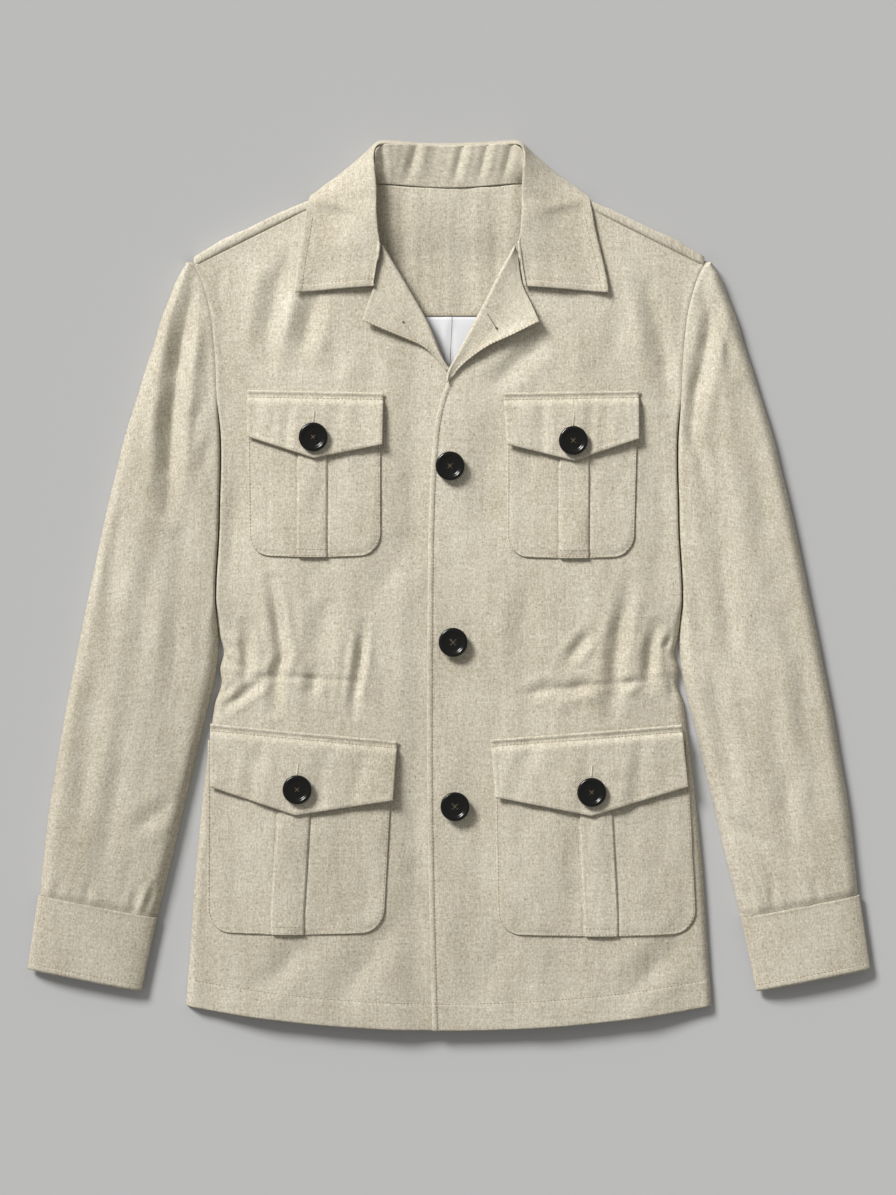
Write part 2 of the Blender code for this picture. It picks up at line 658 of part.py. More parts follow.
def front_grid(side, rows):
    """Places of a front's points: from its front edge out to the side or armhole."""
    last_x, last_y, last_side_y = rows[-1]
    end_x = side * from_table(SIDE, last_side_y)
    start_row = next(i for i, row in enumerate(rows) if row[2] >= ARMPIT_Y)
    grid = []
    for i, (inner_x, inner_y, outer_y) in enumerate(rows):
        outer_x = side * side_x(outer_y)
        roll_start_x = outer_x - side * EDGE_ROLL
        climb = max(i - start_row, 0) / (len(rows) - 1 - start_row)
        line = []
        for kind, value in front_columns():
            if kind == "flat":
                x = mix(inner_x, roll_start_x, value)
            else:
                x = outer_x - side * EDGE_ROLL * (1.0 - math.cos(value))
            share = (x - inner_x) / (outer_x - inner_x)
            straight_seam_y = mix(last_y, last_side_y, (x - last_x) / (end_x - last_x))
            to_seam = from_table(SHOULDER, abs(x), 2) - GAP / 2.0 - straight_seam_y
            y = mix(inner_y, outer_y, share) + to_seam * climb ** 2
            if i == 0:
                y = hem_y(x)
            line.append((x, y))
        grid.append(line)
    return grid


def hem_y(x):
    """The hem is lowest in the middle."""
    return HEM_SIDE_Y - HEM_DIP * (1.0 - (x / from_table(SIDE, HEM_SIDE_Y)) ** 2)


def make_fronts():
    right = [[(x, y, front_height(x, y) - under_drop(x)) for x, y in row]
             for row in front_grid(-1.0, FRONT_RIGHT_ROWS)]
    cloth_wall("front_right", right, CLOTH, "linen")
    left_rows = [(x, y, row[2]) for (x, y), row in zip(FRONT_LEFT_EDGE, FRONT_RIGHT_ROWS)]
    left = [[(x, y, front_height(x, y)) for x, y in row] for row in front_grid(1.0, left_rows)]
    cloth_wall("front_left", left, CLOTH, "linen")


def neck_y(x):
    """The seam of the collar at the back of the neck."""
    return NECK_SEAM_Y + NECK_CURVE * (min(abs(x), NECK_HALF) / NECK_HALF) ** 2


def back_half_width(y):
    """The back lies just inside the fronts' sides, and meets the sleeves at the armholes."""
    return side_x(y) - mix(FLOOR_INSET, 0.0, seam_share(y))


def make_back():
    """Flat on the floor, then over the shoulders to the shoulder seams."""
    top_x = [-x for x in reversed(BACK_TOP_X[1:])] + BACK_TOP_X
    widest = BACK_TOP_X[-1]
    turned = [0.0 if abs(x) < WRAP_FROM_X else 1.0 for x in top_x]
    grid = []
    for side_y in BACK_SIDE_Y:
        rise = (side_y - BACK_SIDE_Y[0]) / (BACK_SIDE_Y[-1] - BACK_SIDE_Y[0])
        row = []
        for x_at_top, turn in zip(top_x, turned):
            x = x_at_top / widest * back_half_width(side_y)
            top_y = mix(neck_y(x_at_top) - BACK_TOP_CLEAR,
                        from_table(SHOULDER, abs(x_at_top)) - WRAP_DEPTH, turn)
            y = mix(hem_y(x), top_y, rise)
            row.append((x, y, back_lift(x, y)))
        grid.append(row)
    last = grid[-1]
    for step in range(1, WRAP_STEPS + 2):
        angle = math.pi * min(step, WRAP_STEPS) / WRAP_STEPS
        row = []
        for (x, y, lift), turn in zip(last, turned):
            over_y = y + WRAP_DEPTH * math.sin(angle)
            if step > WRAP_STEPS:
                over_y = from_table(SHOULDER, abs(x), 2) + GAP / 2.0
            over_z = mix(lift, SEAM_HEIGHT, 0.5 - 0.5 * math.cos(angle))
            row.append((x, mix(y + NECK_ROW_STEP * step, over_y, turn), mix(lift, over_z, turn)))
        grid.append(row)
    return cloth_wall("back", grid, CLOTH, "linen", faces_up=False)


def make_neck_inside():
    """The facing inside the back neck, and the lining below it."""
    pieces = [
        ("back_neck_facing", FACING_END_Y, None, NECK_FACING_HALF, NECK_FACING_CLOTH, "linen",
         LOOSE_GAP),
        ("lining", LINING_END_Y, FACING_END_Y - GAP, LINING_HALF, LINING_CLOTH, "lining", GAP),
    ]
    for name, low_y, high_y, halves, thickness, finish, clearance in pieces:
        grid = []
        for i in range(LINING_ROWS + 1):
            row = []
            for j in range(LINING_COLUMNS + 1):
                rise = i / LINING_ROWS
                x = mix(*halves, rise) * (2.0 * j / LINING_COLUMNS - 1.0)
                top_y = neck_y(x) - FACING_TOP_CLEAR if high_y is None else high_y
                y = mix(low_y, top_y, rise)
                row.append((x, y, back_lift(x, y) + CLOTH + clearance))
            grid.append(row)
        laid_wall(name, grid, thickness, finish)


def sleeve_height(side, x, y, s, length, inner_y):
    """Outer surface of a sleeve at a distance from its inner edge."""
    reach = min(SLEEVE_ROLL, SLEEVE_ROLL_SHARE * length)
    inner = mix(quarter_roll(s, reach), 1.0, seam_share(inner_y))
    outer = quarter_roll(length - s, reach)
    height = SEAM_HEIGHT + SLEEVE_CROWN * math.sin(math.pi * s / length)
    near = smooth(min(s, length - s) / SLEEVE_ROLL)
    return height * inner * outer - near * fold_depth(side * x, y, SLEEVE_FOLDS)


def make_sleeve(side, label):
    """The sleeve half that shows, with its rolled sides, and the half on the floor."""
    top = []
    under = []
    for i, (inner_x, inner_y, outer_x, outer_y) in enumerate(SLEEVE_ROWS):
        length = math.hypot(outer_x - inner_x, outer_y - inner_y)
        reach = min(SLEEVE_ROLL, SLEEVE_ROLL_SHARE * length)
        turn = [math.pi / 2.0 * j / ROLL_COLUMNS for j in range(ROLL_COLUMNS)]
        distances = [reach * (1.0 - math.cos(angle)) for angle in turn]
        distances += [mix(reach, length - reach, j / SLEEVE_MIDDLE_COLUMNS)
                      for j in range(SLEEVE_MIDDLE_COLUMNS + 1)]
        distances += [length - reach * (1.0 - math.cos(angle)) for angle in reversed(turn)]
        row = []
        for s in distances:
            x = mix(inner_x, outer_x, s / length)
            y = mix(inner_y, outer_y, s / length)
            z = sleeve_height(side, x, y, s, length, inner_y)
            row.append((side * x, y, z * CAP_END_SHARE if i == 0 else z))
        top.append(row)
        if i < CAP_ROWS:
            continue
        first = mix(FLOOR_INSET, 0.0, seam_share(inner_y))
        floor_row = []
        for j in range(UNDER_COLUMNS + 1):
            share = mix(first, length - FLOOR_INSET, j / UNDER_COLUMNS) / length
            floor_row.append((side * mix(inner_x, outer_x, share), mix(inner_y, outer_y, share), 0.0))
        under.append(floor_row)
    cloth_wall("sleeve_top_" + label, top, CLOTH, "linen")
    cloth_wall("sleeve_under_" + label, under, CLOTH, "linen", faces_up=False)


def cuff_ring(side, share, wall):
    """A flattened ring: straight below, round at both ends, slightly crowned above."""
    inner = [mix(a, b, share) for a, b in zip(CUFF_TOP[0], CUFF_END[0])]
    outer = [mix(a, b, share) for a, b in zip(CUFF_TOP[1], CUFF_END[1])]
    length = math.dist(inner, outer)
    radius = CUFF_HEIGHT / 2.0
    ring = []
    for j in range(CUFF_RING_POINTS):
        angle = 2.0 * math.pi * j / CUFF_RING_POINTS
        end = math.copysign(abs(math.cos(angle)) ** CUFF_END_POWER, math.cos(angle))
        round_radius = radius - wall
        s = length / 2.0 + end * (length / 2.0 - radius) + round_radius * math.cos(angle)
        z = radius + round_radius * math.sin(angle)
        if math.sin(angle) > 0.0:
            z += CUFF_CROWN * math.sin(angle) * math.sin(math.pi * s / length)
        ring.append((side * mix(inner[0], outer[0], s / length),
                     mix(inner[1], outer[1], s / length), z))
    return ring


def make_cuff(side, label):
    shares = [i / CUFF_RINGS for i in range(CUFF_RINGS + 1)]
    outer = [cuff_ring(side, share, 0.0) for share in shares]
    inner = [cuff_ring(side, share, CUFF_CLOTH) for share in shares]
    return wall_from_grids("cuff_" + label, outer, inner, "linen", ring=True)


def make_revers(label, rows, covered):
    """The facing turned back on its front, whose other edge may be covered (1.0) or not (0.0)."""
    grid = []
    for roll_x, roll_y, edge_x, edge_y, lift in rows:
        length = math.hypot(edge_x - roll_x, edge_y - roll_y)
        out = ((edge_x - roll_x) / length, (edge_y - roll_y) / length)
        curl = min(1.0, length / REVERS_FULL_CURL)
        row = []
        for j in range(FACING_COLUMNS + 1):
            share = j / FACING_COLUMNS
            x = mix(roll_x, edge_x, share)
            y = mix(roll_y, edge_y, share)
            z = front_height(x, y) - covered * under_drop(x) + SEAT_GAP + CLOTH
            row.append((x, y, z + ROLL_RISE * (1.0 - share) ** 2 + lift * share ** 2))
        x, y, z = row[0]
        for back, down in REVERS_CURL:
            row.insert(0, (x - out[0] * back * curl, y - out[1] * back * curl, z - down * curl))
        grid.append(row)
    return cloth_wall("facing_" + label, grid, CLOTH, "linen")


def mirrored(rows):
    """Carry a list of sections from the wearer's right on round to the left."""
    return rows + [[(-x, y, z) for x, y, z in row] for row in reversed(rows[:-1])]


def make_collar():
    """The leaf: on the fronts, over the shoulders and folded under the back."""
    sections = []
    for fold_x, fold_y, rise, edge_x, edge_y, curl in COLLAR_FRONT_ROWS:
        controls = []
        for share in (0.0, 0.25, 0.5, 0.75, 1.0):
            x = mix(fold_x, edge_x, share)
            y = mix(fold_y, edge_y, share)
            z = front_height(x, y) + LOOSE_GAP + CLOTH
            z += rise * (1.0 - smooth(share / LEAF_RISE_SHARE)) + LEAF_EDGE_LIFT * share ** 2
            controls.append((x, y, z))
        start = (fold_x + CURL_IN * curl, fold_y, controls[0][2] - CURL_DOWN * curl)
        if curl == 0.0:
            start = [mix(a, b, GORGE_STEP) for a, b in zip(controls[0], controls[1])]
            start, controls[0] = controls[0], start
        sections.append(curve_points([start] + controls, LEAF_COLUMNS))
    for controls in COLLAR_BACK_ROWS:
        x, y, z = controls[0]
        if x < CORNER_X:
            inward = (CURL_IN, 0.0)
        else:
            inward = (0.0, -CURL_IN)
        start = (x + inward[0], y + inward[1], z - CURL_DOWN)
        section = curve_points([start] + list(controls), LEAF_COLUMNS)
        sections.append([(x, y, max(z, 0.0)) for x, y, z in section])
    return cloth_wall("collar", mirrored(sections), CLOTH, "linen", flat_row=0)


def make_collar_stand():
    sections = []
    for seam_x, seam_y, seam_z, top_x, top_y, top_z in STAND_ROWS:
        sections.append([[mix(a, b, j / STAND_COLUMNS) for a, b in
                          ((seam_x, top_x), (seam_y, top_y), (seam_z, top_z))]
                         for j in range(STAND_COLUMNS + 1)])
    return cloth_wall("collar_stand", mirrored(sections), CLOTH, "linen")


def flap_seam_y(flap, x):
    """y of a flap's top edge at a place across it."""
    left, right = FLAPS[flap][0], FLAPS[flap][1]
    return mix(left[1], right[1], (x - left[0]) / (right[0] - left[0]))


def pocket_under(x, y):
    """Outer surface of the front under a pocket or flap, which stays flat at the rolled side."""
    drop = under_drop(x) if x < 0.0 else 0.0
    flat_x = math.copysign(min(abs(x), side_x(y) - EDGE_ROLL), x)
    return front_height(flat_x, y) - drop


def make_pocket(name):
    """A patch with round lower corners and a raised box pleat down its middle."""
    top_x, low_x, top_half, low_half, low_y, radius, pleat_top, pleat_low, pleat_half = POCKETS[name]
    flap = name.replace("pocket", "flap")
    lines = [(share / POCKET_STRAIGHT_ROWS, 0.0, 0.0) for share in range(POCKET_STRAIGHT_ROWS)]
    for k in range(POCKET_CORNER_ROWS + 1):
        angle = math.pi / 2.0 * k / POCKET_CORNER_ROWS
        lines.append((1.0, radius * (1.0 - math.cos(angle)), radius * math.sin(angle)))
    top = []
    bottom = []
    for share, inset, below in lines:
        middle = mix(top_x, low_x, share)
        half = mix(top_half, low_half, share) - inset
        pleat = mix(pleat_top, pleat_low, share)
        left, right = middle - half, middle + half
        raised_left, raised_right = pleat - pleat_half, pleat + pleat_half
        across = [j / PANEL_COLUMNS for j in range(PANEL_COLUMNS + 1)]
        places = [(mix(left, raised_left - PLEAT_STEP, step), 0.0) for step in across]
        places += [(x, PLEAT_RAISE) for x in (raised_left, pleat, raised_right)]
        places += [(mix(raised_right + PLEAT_STEP, right, step), 0.0) for step in across]
        upper_row = []
        lower_row = []
        for x, raise_by in places:
            start_y = flap_seam_y(flap, x) - POCKET_UNDER_FLAP
            corner_y = low_y + radius
            sag = POCKET_SAG * (1.0 - ((x - middle) / half) ** 2)
            y = mix(start_y, corner_y, share) - below - sag * share
            under = pocket_under(x, y) + GAP
            lower_row.append((x, y, under))
            upper_row.append((x, y, under + POCKET_CLOTH + raise_by))
        top.append(upper_row)
        bottom.append(lower_row)
    return wall_from_grids(name, top, bottom, "linen")


def flap_clearance(flap, x, y):
    """How far a flap's underside lies above the front: more where the pocket is under it."""
    over = 2.0 * GAP + POCKET_CLOTH + PLEAT_RAISE + FLAP_EASE
    return mix(GAP, over, smooth((flap_seam_y(flap, x) - y - FLAP_SEAM) / FLAP_RAMP))


def make_flap(name):
    """A five-cornered flap, sewn on along its top edge."""
    top_left, top_right, low_right, tip, low_left = FLAPS[name]
    shares = [j / FLAP_COLUMNS for j in range(FLAP_COLUMNS + 1)]
    grid = []
    for down in FLAP_ROWS:
        row = []
        for share in shares:
            top_point = [mix(a, b, share) for a, b in zip(top_left, top_right)]
            if share <= 0.5:
                low_point = [mix(a, b, share * 2.0) for a, b in zip(low_left, tip)]
            else:
                low_point = [mix(a, b, share * 2.0 - 1.0) for a, b in zip(tip, low_right)]
            x, y = (mix(a, b, down) for a, b in zip(top_point, low_point))
            row.append((x, y, pocket_under(x, y) + flap_clearance(name, x, y)))
        grid.append(row)
    return laid_wall(name, grid, POCKET_CLOTH, "linen")


def make_button(name):
    """A turned disc with a raised rim, laid on the highest point under it."""
    x, y = BUTTONS[name]
    flap = name.replace("button", "flap")
    places = [(x, y)]
    for j in range(BUTTON_STEPS):
        angle = 2.0 * math.pi * j / BUTTON_STEPS
        for reach in (0.5, 1.0):
            radius = BUTTON_RADIUS * reach
            places.append((x + radius * math.cos(angle), y + radius * math.sin(angle)))
    if flap in FLAPS:
        heights = [pocket_under(*place) + flap_clearance(flap, *place) + POCKET_CLOTH
                   for place in places]
    else:
        heights = [front_height(*place) for place in places]
    mesh = bpy.data.meshes.new(name)
    profile = bmesh.new()
    verts = [profile.verts.new((r * MM, 0.0, z * MM)) for r, z in BUTTON_PROFILE]
    for a, b in zip(verts, verts[1:]):
        profile.edges.new((a, b))
    profile.to_mesh(mesh)
    profile.free()
    button = add_object(name, mesh, "button")
    button.location = (x * MM, y * MM, (max(heights) + GAP) * MM)
    turn = button.modifiers.new("Turn", "SCREW")
    turn.steps = BUTTON_STEPS
    turn.render_steps = BUTTON_STEPS
    turn.use_merge_vertices = True
    turn.merge_threshold = 0.0001
    turn.use_smooth_shade = True
    return button


def main():
    for item in list(bpy.data.objects):
        bpy.data.objects.remove(item)
    jacket = bpy.data.collections.new("safari_jacket")
    bpy.context.scene.collection.children.link(jacket)
    origin = bpy.data.objects.new("jacket_origin", None)
    jacket.objects.link(origin)
    make_back()
    make_neck_inside()
    make_fronts()
    for side, label in ((-1.0, "right"), (1.0, "left")):
        make_sleeve(side, label)
        make_cuff(side, label)
    make_revers("right", FACING_RIGHT_ROWS, 1.0)
    make_revers("left", FACING_LEFT_ROWS, 0.0)
    make_collar()
    make_collar_stand()
    for name in POCKETS:
        make_pocket(name)
    for name in FLAPS:
        make_flap(name)
    for name in BUTTONS:
        make_button(name)


if __name__ == "__main__":
    main()
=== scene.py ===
"""Safari jacket laid flat on its back: worn cloth, seams, topstitching, buttons, light and camera.

Frame: the back lies on z = 0, the collar points to +Y, the wearer's left is at +X.
Tables and lengths are in millimetres, and meshes are made in metres.
"""

import json
import logging
import math
from dataclasses import dataclass, field
from enum import Enum

import bmesh
import bpy
import numpy as np
from bpy.types import ID, GeometryNodeTree, Material, Mesh, Node, NodeSocket, NodeTree, Object
from mathutils import Matrix, Vector

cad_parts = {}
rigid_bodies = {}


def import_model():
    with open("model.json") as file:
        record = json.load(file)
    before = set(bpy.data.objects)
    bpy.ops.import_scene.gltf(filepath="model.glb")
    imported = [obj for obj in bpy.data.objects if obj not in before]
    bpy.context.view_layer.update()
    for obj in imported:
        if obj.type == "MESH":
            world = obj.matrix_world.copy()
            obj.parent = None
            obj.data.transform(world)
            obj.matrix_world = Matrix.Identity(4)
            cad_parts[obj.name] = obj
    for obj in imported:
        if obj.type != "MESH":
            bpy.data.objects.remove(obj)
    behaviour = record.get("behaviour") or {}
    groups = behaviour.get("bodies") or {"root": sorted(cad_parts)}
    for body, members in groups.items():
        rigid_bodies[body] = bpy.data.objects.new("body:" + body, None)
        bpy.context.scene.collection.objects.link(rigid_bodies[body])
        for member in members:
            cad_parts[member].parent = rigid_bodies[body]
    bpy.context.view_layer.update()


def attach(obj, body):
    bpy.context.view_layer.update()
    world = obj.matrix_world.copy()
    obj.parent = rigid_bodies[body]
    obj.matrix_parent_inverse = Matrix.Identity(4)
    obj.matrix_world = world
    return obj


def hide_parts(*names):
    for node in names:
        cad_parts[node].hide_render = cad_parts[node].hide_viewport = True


log = logging.getLogger("safari_jacket")

Array = np.ndarray
Numbers = Array | float
Pair = tuple[float, float]
Colour = tuple[float, ...]

MM = 0.001

# Driving sizes of the garment
HEM_SIDE_Y = -373.0  # hem at the side seams
HEM_DIP = 21.5  # how much lower the hem is at the middle
ARMPIT_Y = 132.0
NECK_SEAM_Y = 352.5  # back neck seam at the middle
NECK_CURVE = 4.2  # how much higher the neck seam is at its ends
NECK_HALF = 66.0

# Thicknesses and clearances
CLOTH = 1.6
POCKET_CLOTH = 1.4
GAP = 0.3
LOOSE_GAP = 0.6  # under the collar and the neck facing
FLOOR_INSET = 3.0  # how far a panel on the floor lies inside the wall above it
SEAM_TUCK = 1.8  # a piece's edge runs on under its neighbour at a seam
SEAM_DROP = 0.7
PLEAT_RAISE = 1.9

# Heights of the garment as it lies
EDGE_HEIGHT = 9.0  # top of the rolled side
EDGE_ROLL = 8.0  # how far in from the side the roll reaches
CONTACT_ROLL = 1.7  # the same where the sleeve presses against the side
CONTACT_HEIGHT = 11.6
CONTACT_END_Y = -42.0
CONTACT_FADE = 30.0
CROWN = 7.0  # extra height in the middle of the body
CROWN_REACH = 80.0
SEAM_HEIGHT = 12.5  # height at the armhole and shoulder seams
ARMHOLE_BLEND = 34.0  # above the armpit, the side opens into the armhole over this length
SHOULDER_BLEND = 45.0  # the front comes down to the shoulder seam over this length
FOLD_FADE = 10.0  # folds die out this close to the side
SLEEVE_ROLL = 11.0
SLEEVE_ROLL_SHARE = 0.4  # the most of a sleeve's width that one rolled side takes
ROLL_STEPS = 7  # columns of points round a rolled side
CREASE_DEPTH = 1.35  # all the creases of the fronts and sleeves are this much deeper

# Overlap of the fronts
UNDER_EDGE_X = 19.0
OVERLAP_DROP = CLOTH + GAP + 0.1
DROP_FROM_X = -50.0
DROP_TO_X = -26.0

# Side of the body and armhole, hem to shoulder: y, distance from the middle
SIDE = [
    (-395, 235.5),
    (-373, 234),
    (-331, 231),
    (-252, 225.5),
    (-173, 217.5),
    (-122, 211),
    (-105, 208.5),
    (-86, 202.5),
    (-74, 204),
    (-60, 200.5),
    (-45, 204),
    (60, 204),
    (132, 203.2),
    (166, 205.8),
    (212, 208.2),
    (250, 213.6),
    (273, 220.8),
    (284, 226.5),
    (290, 231),
]

# Shoulder: distance from the middle, y of the outline, y of the seam
SHOULDER = [
    (64, 358, 351.6),
    (100, 349.5, 340.5),
    (126, 341, 332.5),
    (150, 331, 320.5),
    (180, 316.4, 305.5),
    (200, 307.5, 295.5),
    (214.5, 298.6, 288.3),
    (230, 289.5, 280.5),
]

# Back: distances from the middle along its top edge, and heights along its side
BACK_TOP_X = [0.0, 30.0, 60.0, 73.5, 84.0, 105.0, 126.0, 160.0, 194.0, 226.0]
BACK_SIDE_Y = (-373.0, 284.0)

# Fronts, hem to shoulder seam: x of the edge (wearer's right, left), y of the edge
# (right, left), y at the side
FRONT_ROWS = [
    (19, -14.6, -394.5, -393, -373),
    (19, -16.2, -345, -345, -327),
    (19, -17.5, -292, -292, -278),
    (19, -18.6, -240, -240, -230),
    (19, -19.2, -193, -193, -186),
    (19, -19.6, -152, -152, -147),
    (19, -19.6, -128, -128, -125),
    (19, -19.6, -112, -112, -110),
    (19, -19.5, -101, -101, -100),
    (19, -19.5, -92, -92, -92),
    (19, -19.4, -84, -84, -84),
    (19, -19.4, -76, -76, -76),
    (19, -19.3, -68, -68, -68),
    (19, -19.3, -59, -59, -59),
    (19, -19.2, -48, -48, -48),
    (19, -19.1, -34, -34, -34),
    (19, -19, -12, -12, -12),
    (19, -18.8, 16, 16, 16),
    (19, -18.3, 48, 48, 46),
    (19, -17.2, 82, 82, 76),
    (19, -15.4, 114, 114, 106),
    (17, -12.2, 145, 145, 132),
    (10, -5, 170, 172, 148),
    (-3, 7, 192, 193.5, 166),
    (-17, 17, 218, 211, 186),
    (-30, 29, 241, 233, 206),
    (-43, 41, 263, 256, 226),
    (-55, 53.5, 284, 280, 244),
    (-68.5, 68.5, 303, 303, 259),
    (-71.8, 71.8, 322, 322, 271),
    (-72.5, 72.5, 338, 338, 278),
    (-72.5, 72.5, 350, 350, 282.5),
]

# Sleeve, shoulder to cuff: distance from the middle and y at the inner edge, then at the outer
SLEEVE_ROWS = [
    (229, 286.6, 234.4, 286.2),
    (228.6, 283.4, 236, 282.8),
    (223.2, 275.4, 243, 270.5),
    (219, 265, 249.5, 254),
    (214.6, 250.5, 256.5, 236),
    (211.7, 232, 262.5, 215),
    (209, 212, 269.5, 194),
    (207.6, 190, 276.5, 171),
    (206.6, 168, 284.5, 146),
    (205.4, 150, 290, 127),
    (205, 132.5, 295, 105.5),
    (205.2, 114, 299.5, 88),
    (205.3, 86, 306.2, 59.5),
    (205.4, 55, 312.8, 28.5),
    (205.4, 25, 318.8, -0.5),
    (205.3, -4, 324.5, -28),
    (205.2, -30, 329.4, -52),
    (205.2, -55, 334, -76),
    (207.3, -78, 338.3, -97),
    (213.2, -104, 342.5, -119),
    (221.8, -137, 347, -147),
    (229.8, -172, 352.2, -176),
    (238.2, -207, 356.4, -204),
    (246.5, -243, 359.5, -232),
    (253.8, -272, 362.2, -256),
    (259.5, -294.3, 363.7, -274),
]

# Revers: x and y on the roll, x and y on the outer edge, lift of the outer edge
FACING_RIGHT_ROWS = [
    (-0.4, 191, -1.6, 189.6, 0),
    (-4.4, 197.2, -8.6, 197.8, 0.2),
    (-10.8, 208.6, -24, 211.6, 1),
    (-18.5, 227, -51, 223, 2.4),
    (-26, 242, -76.5, 233.6, 3.8),
    (-37.5, 261.5, -72.3, 247.5, 2),
    (-49, 281, -67.3, 263, 0.4),
    (-57, 295, -64.4, 280, 0),
    (-59.6, 300, -61.9, 295.5, 0),
]
FACING_LEFT_ROWS = [
    (-1.5, 180, 1.8, 182.2, 0),
    (0.9, 190.5, 13.4, 196.2, 1.6),
    (9, 205, 34.7, 211.4, 3.4),
    (17, 219.5, 57, 221.5, 4.4),
    (25, 234, 79.7, 232.7, 4.6),
    (37, 257, 73, 248, 2.4),
    (48, 279, 65.2, 265.2, 0.6),
    (56, 294, 62.2, 281, 0),
    (58.4, 299.6, 60.6, 295, 0),
]

# Collar on the front, gorge upward, for the wearer's right: the fold's x, y and rise,
# the outer edge's x and y, and how far the fold curls over (0 at the gorge seam)
COLLAR_FRONT_ROWS = [
    (-68.1, 264.3, 3, -134.4, 258.5, 0),
    (-67, 271, 3.2, -133.9, 268, 0),
    (-65.6, 279.5, 3.8, -133, 279, 0),
    (-63.9, 290, 4.8, -131.8, 291.5, 0),
    (-62.5, 302.5, 6.4, -130.4, 304, 0.4),
    (-64.5, 316, 8.2, -128.8, 317, 0.8),
    (-65.6, 330, 10, -127.2, 328.5, 1),
]
# Collar over the shoulder and behind the neck: x, y and height of the fold, the middle,
# the turn at the outline, where it lands on the floor, and the hidden edge
COLLAR_BACK_ROWS = [
    ((-66, 341.5, 24.8), (-92, 341.5, 19), (-114, 340.5, 16.4),
     (-119.5, 340, 15.6), (-124.8, 339.5, 14.8)),
    ((-66.3, 349.5, 25.4), (-91, 351, 17.6), (-113, 349.5, 11.5),
     (-118, 348.8, 9.6), (-122.6, 347, 7.5)),
    ((-66.7, 357, 25.7), (-89, 359, 16), (-108, 356.5, 7),
     (-114.5, 352.5, 1.6), (-118.5, 344.5, 0)),
    ((-67.1, 364.5, 25.6), (-85, 367, 14.8), (-98.5, 364.4, 5),
     (-103, 357.5, 0), (-112, 336, 0)),
    ((-67.4, 372, 25), (-81, 374, 14.2), (-89.5, 371.8, 5),
     (-92.5, 365, 0), (-102, 332.5, 0)),
    ((-67.4, 379, 24), (-75.5, 380.5, 13.8), (-81, 378.8, 5),
     (-83.5, 372, 0), (-91, 331.5, 0)),
    ((-66.2, 385.5, 22.6), (-70.5, 387, 13.2), (-73, 385.4, 5),
     (-74.5, 378.5, 0), (-79, 331.5, 0)),
    ((-62, 390.2, 20.8), (-63.2, 393.4, 12.6), (-63.8, 391.6, 4.6),
     (-64.5, 385, 0), (-66, 332, 0)),
    ((-53, 391, 18), (-53.4, 394.4, 11), (-53.5, 392.4, 4.2),
     (-53.5, 386, 0), (-53, 332, 0)),
    ((-40, 390.6, 15.6), (-40, 393.8, 9.8), (-40, 392, 3.8),
     (-40, 386, 0), (-40, 332, 0)),
    ((-26, 390, 14.2), (-26, 393.2, 9), (-26, 391.4, 3.5),
     (-26, 385.5, 0), (-26, 332, 0)),
    ((-13, 389.6, 13.4), (-13, 392.8, 8.6), (-13, 391, 3.4),
     (-13, 385, 0), (-13, 332, 0)),
    ((0, 389.4, 13.2), (0, 392.6, 8.4), (0, 390.8, 3.4),
     (0, 385, 0), (0, 332, 0)),
]

# Stand of the collar, gorge to the middle of the back: seam x, y, height, top x, y, height
STAND_ROWS = [
    (-65.8, 306, 15.6, -63.6, 305, 17.4),
    (-68.2, 318, 14.2, -65.3, 317, 18.8),
    (-69.6, 331, 13.2, -66.3, 331, 20.2),
    (-70.2, 342, 12.2, -66.7, 344.5, 20.8),
    (-70.4, 350, 10.4, -66.9, 356, 21.4),
    (-69.4, 355.5, 7.4, -67, 366.5, 21.2),
    (-65.6, 357.2, 5.4, -66.6, 376.5, 21.4),
    (-58, 356.4, 5.2, -65.2, 385.4, 20.8),
    (-48, 355.4, 5.2, -55.5, 390.4, 18.4),
    (-36, 354.4, 5.2, -40, 390.8, 15.9),
    (-24, 353.4, 5.2, -26, 390.2, 14.5),
    (-12, 352.8, 5.2, -13, 389.8, 13.7),
    (0, 352.6, 5.2, 0, 389.6, 13.5),
]

# Buttons: x and y of the middle
BUTTONS = {
    "front_button_1": (0.9, 105.5),
    "front_button_2": (3.6, -50.3),
    "front_button_3": (5.3, -195.4),
    "chest_button_right": (-119.7, 130.8),
    "chest_button_left": (109.6, 127.7),
    "lower_button_right": (-133.9, -180.2),
    "lower_button_left": (125.8, -182.5),
}
# Outline of half a button: distance from its axis, height
BUTTON_PROFILE = [
    (0, 2.4),
    (7.6, 2.4),
    (8.4, 2.65),
    (9.1, 3.3),
    (9.9, 3.95),
    (10.9, 4.2),
    (11.9, 4),
    (12.6, 3.45),
    (12.9, 2.7),
    (12.9, 1.8),
    (12.3, 0.8),
    (11, 0.2),
    (9.5, 0),
    (0, 0),
]

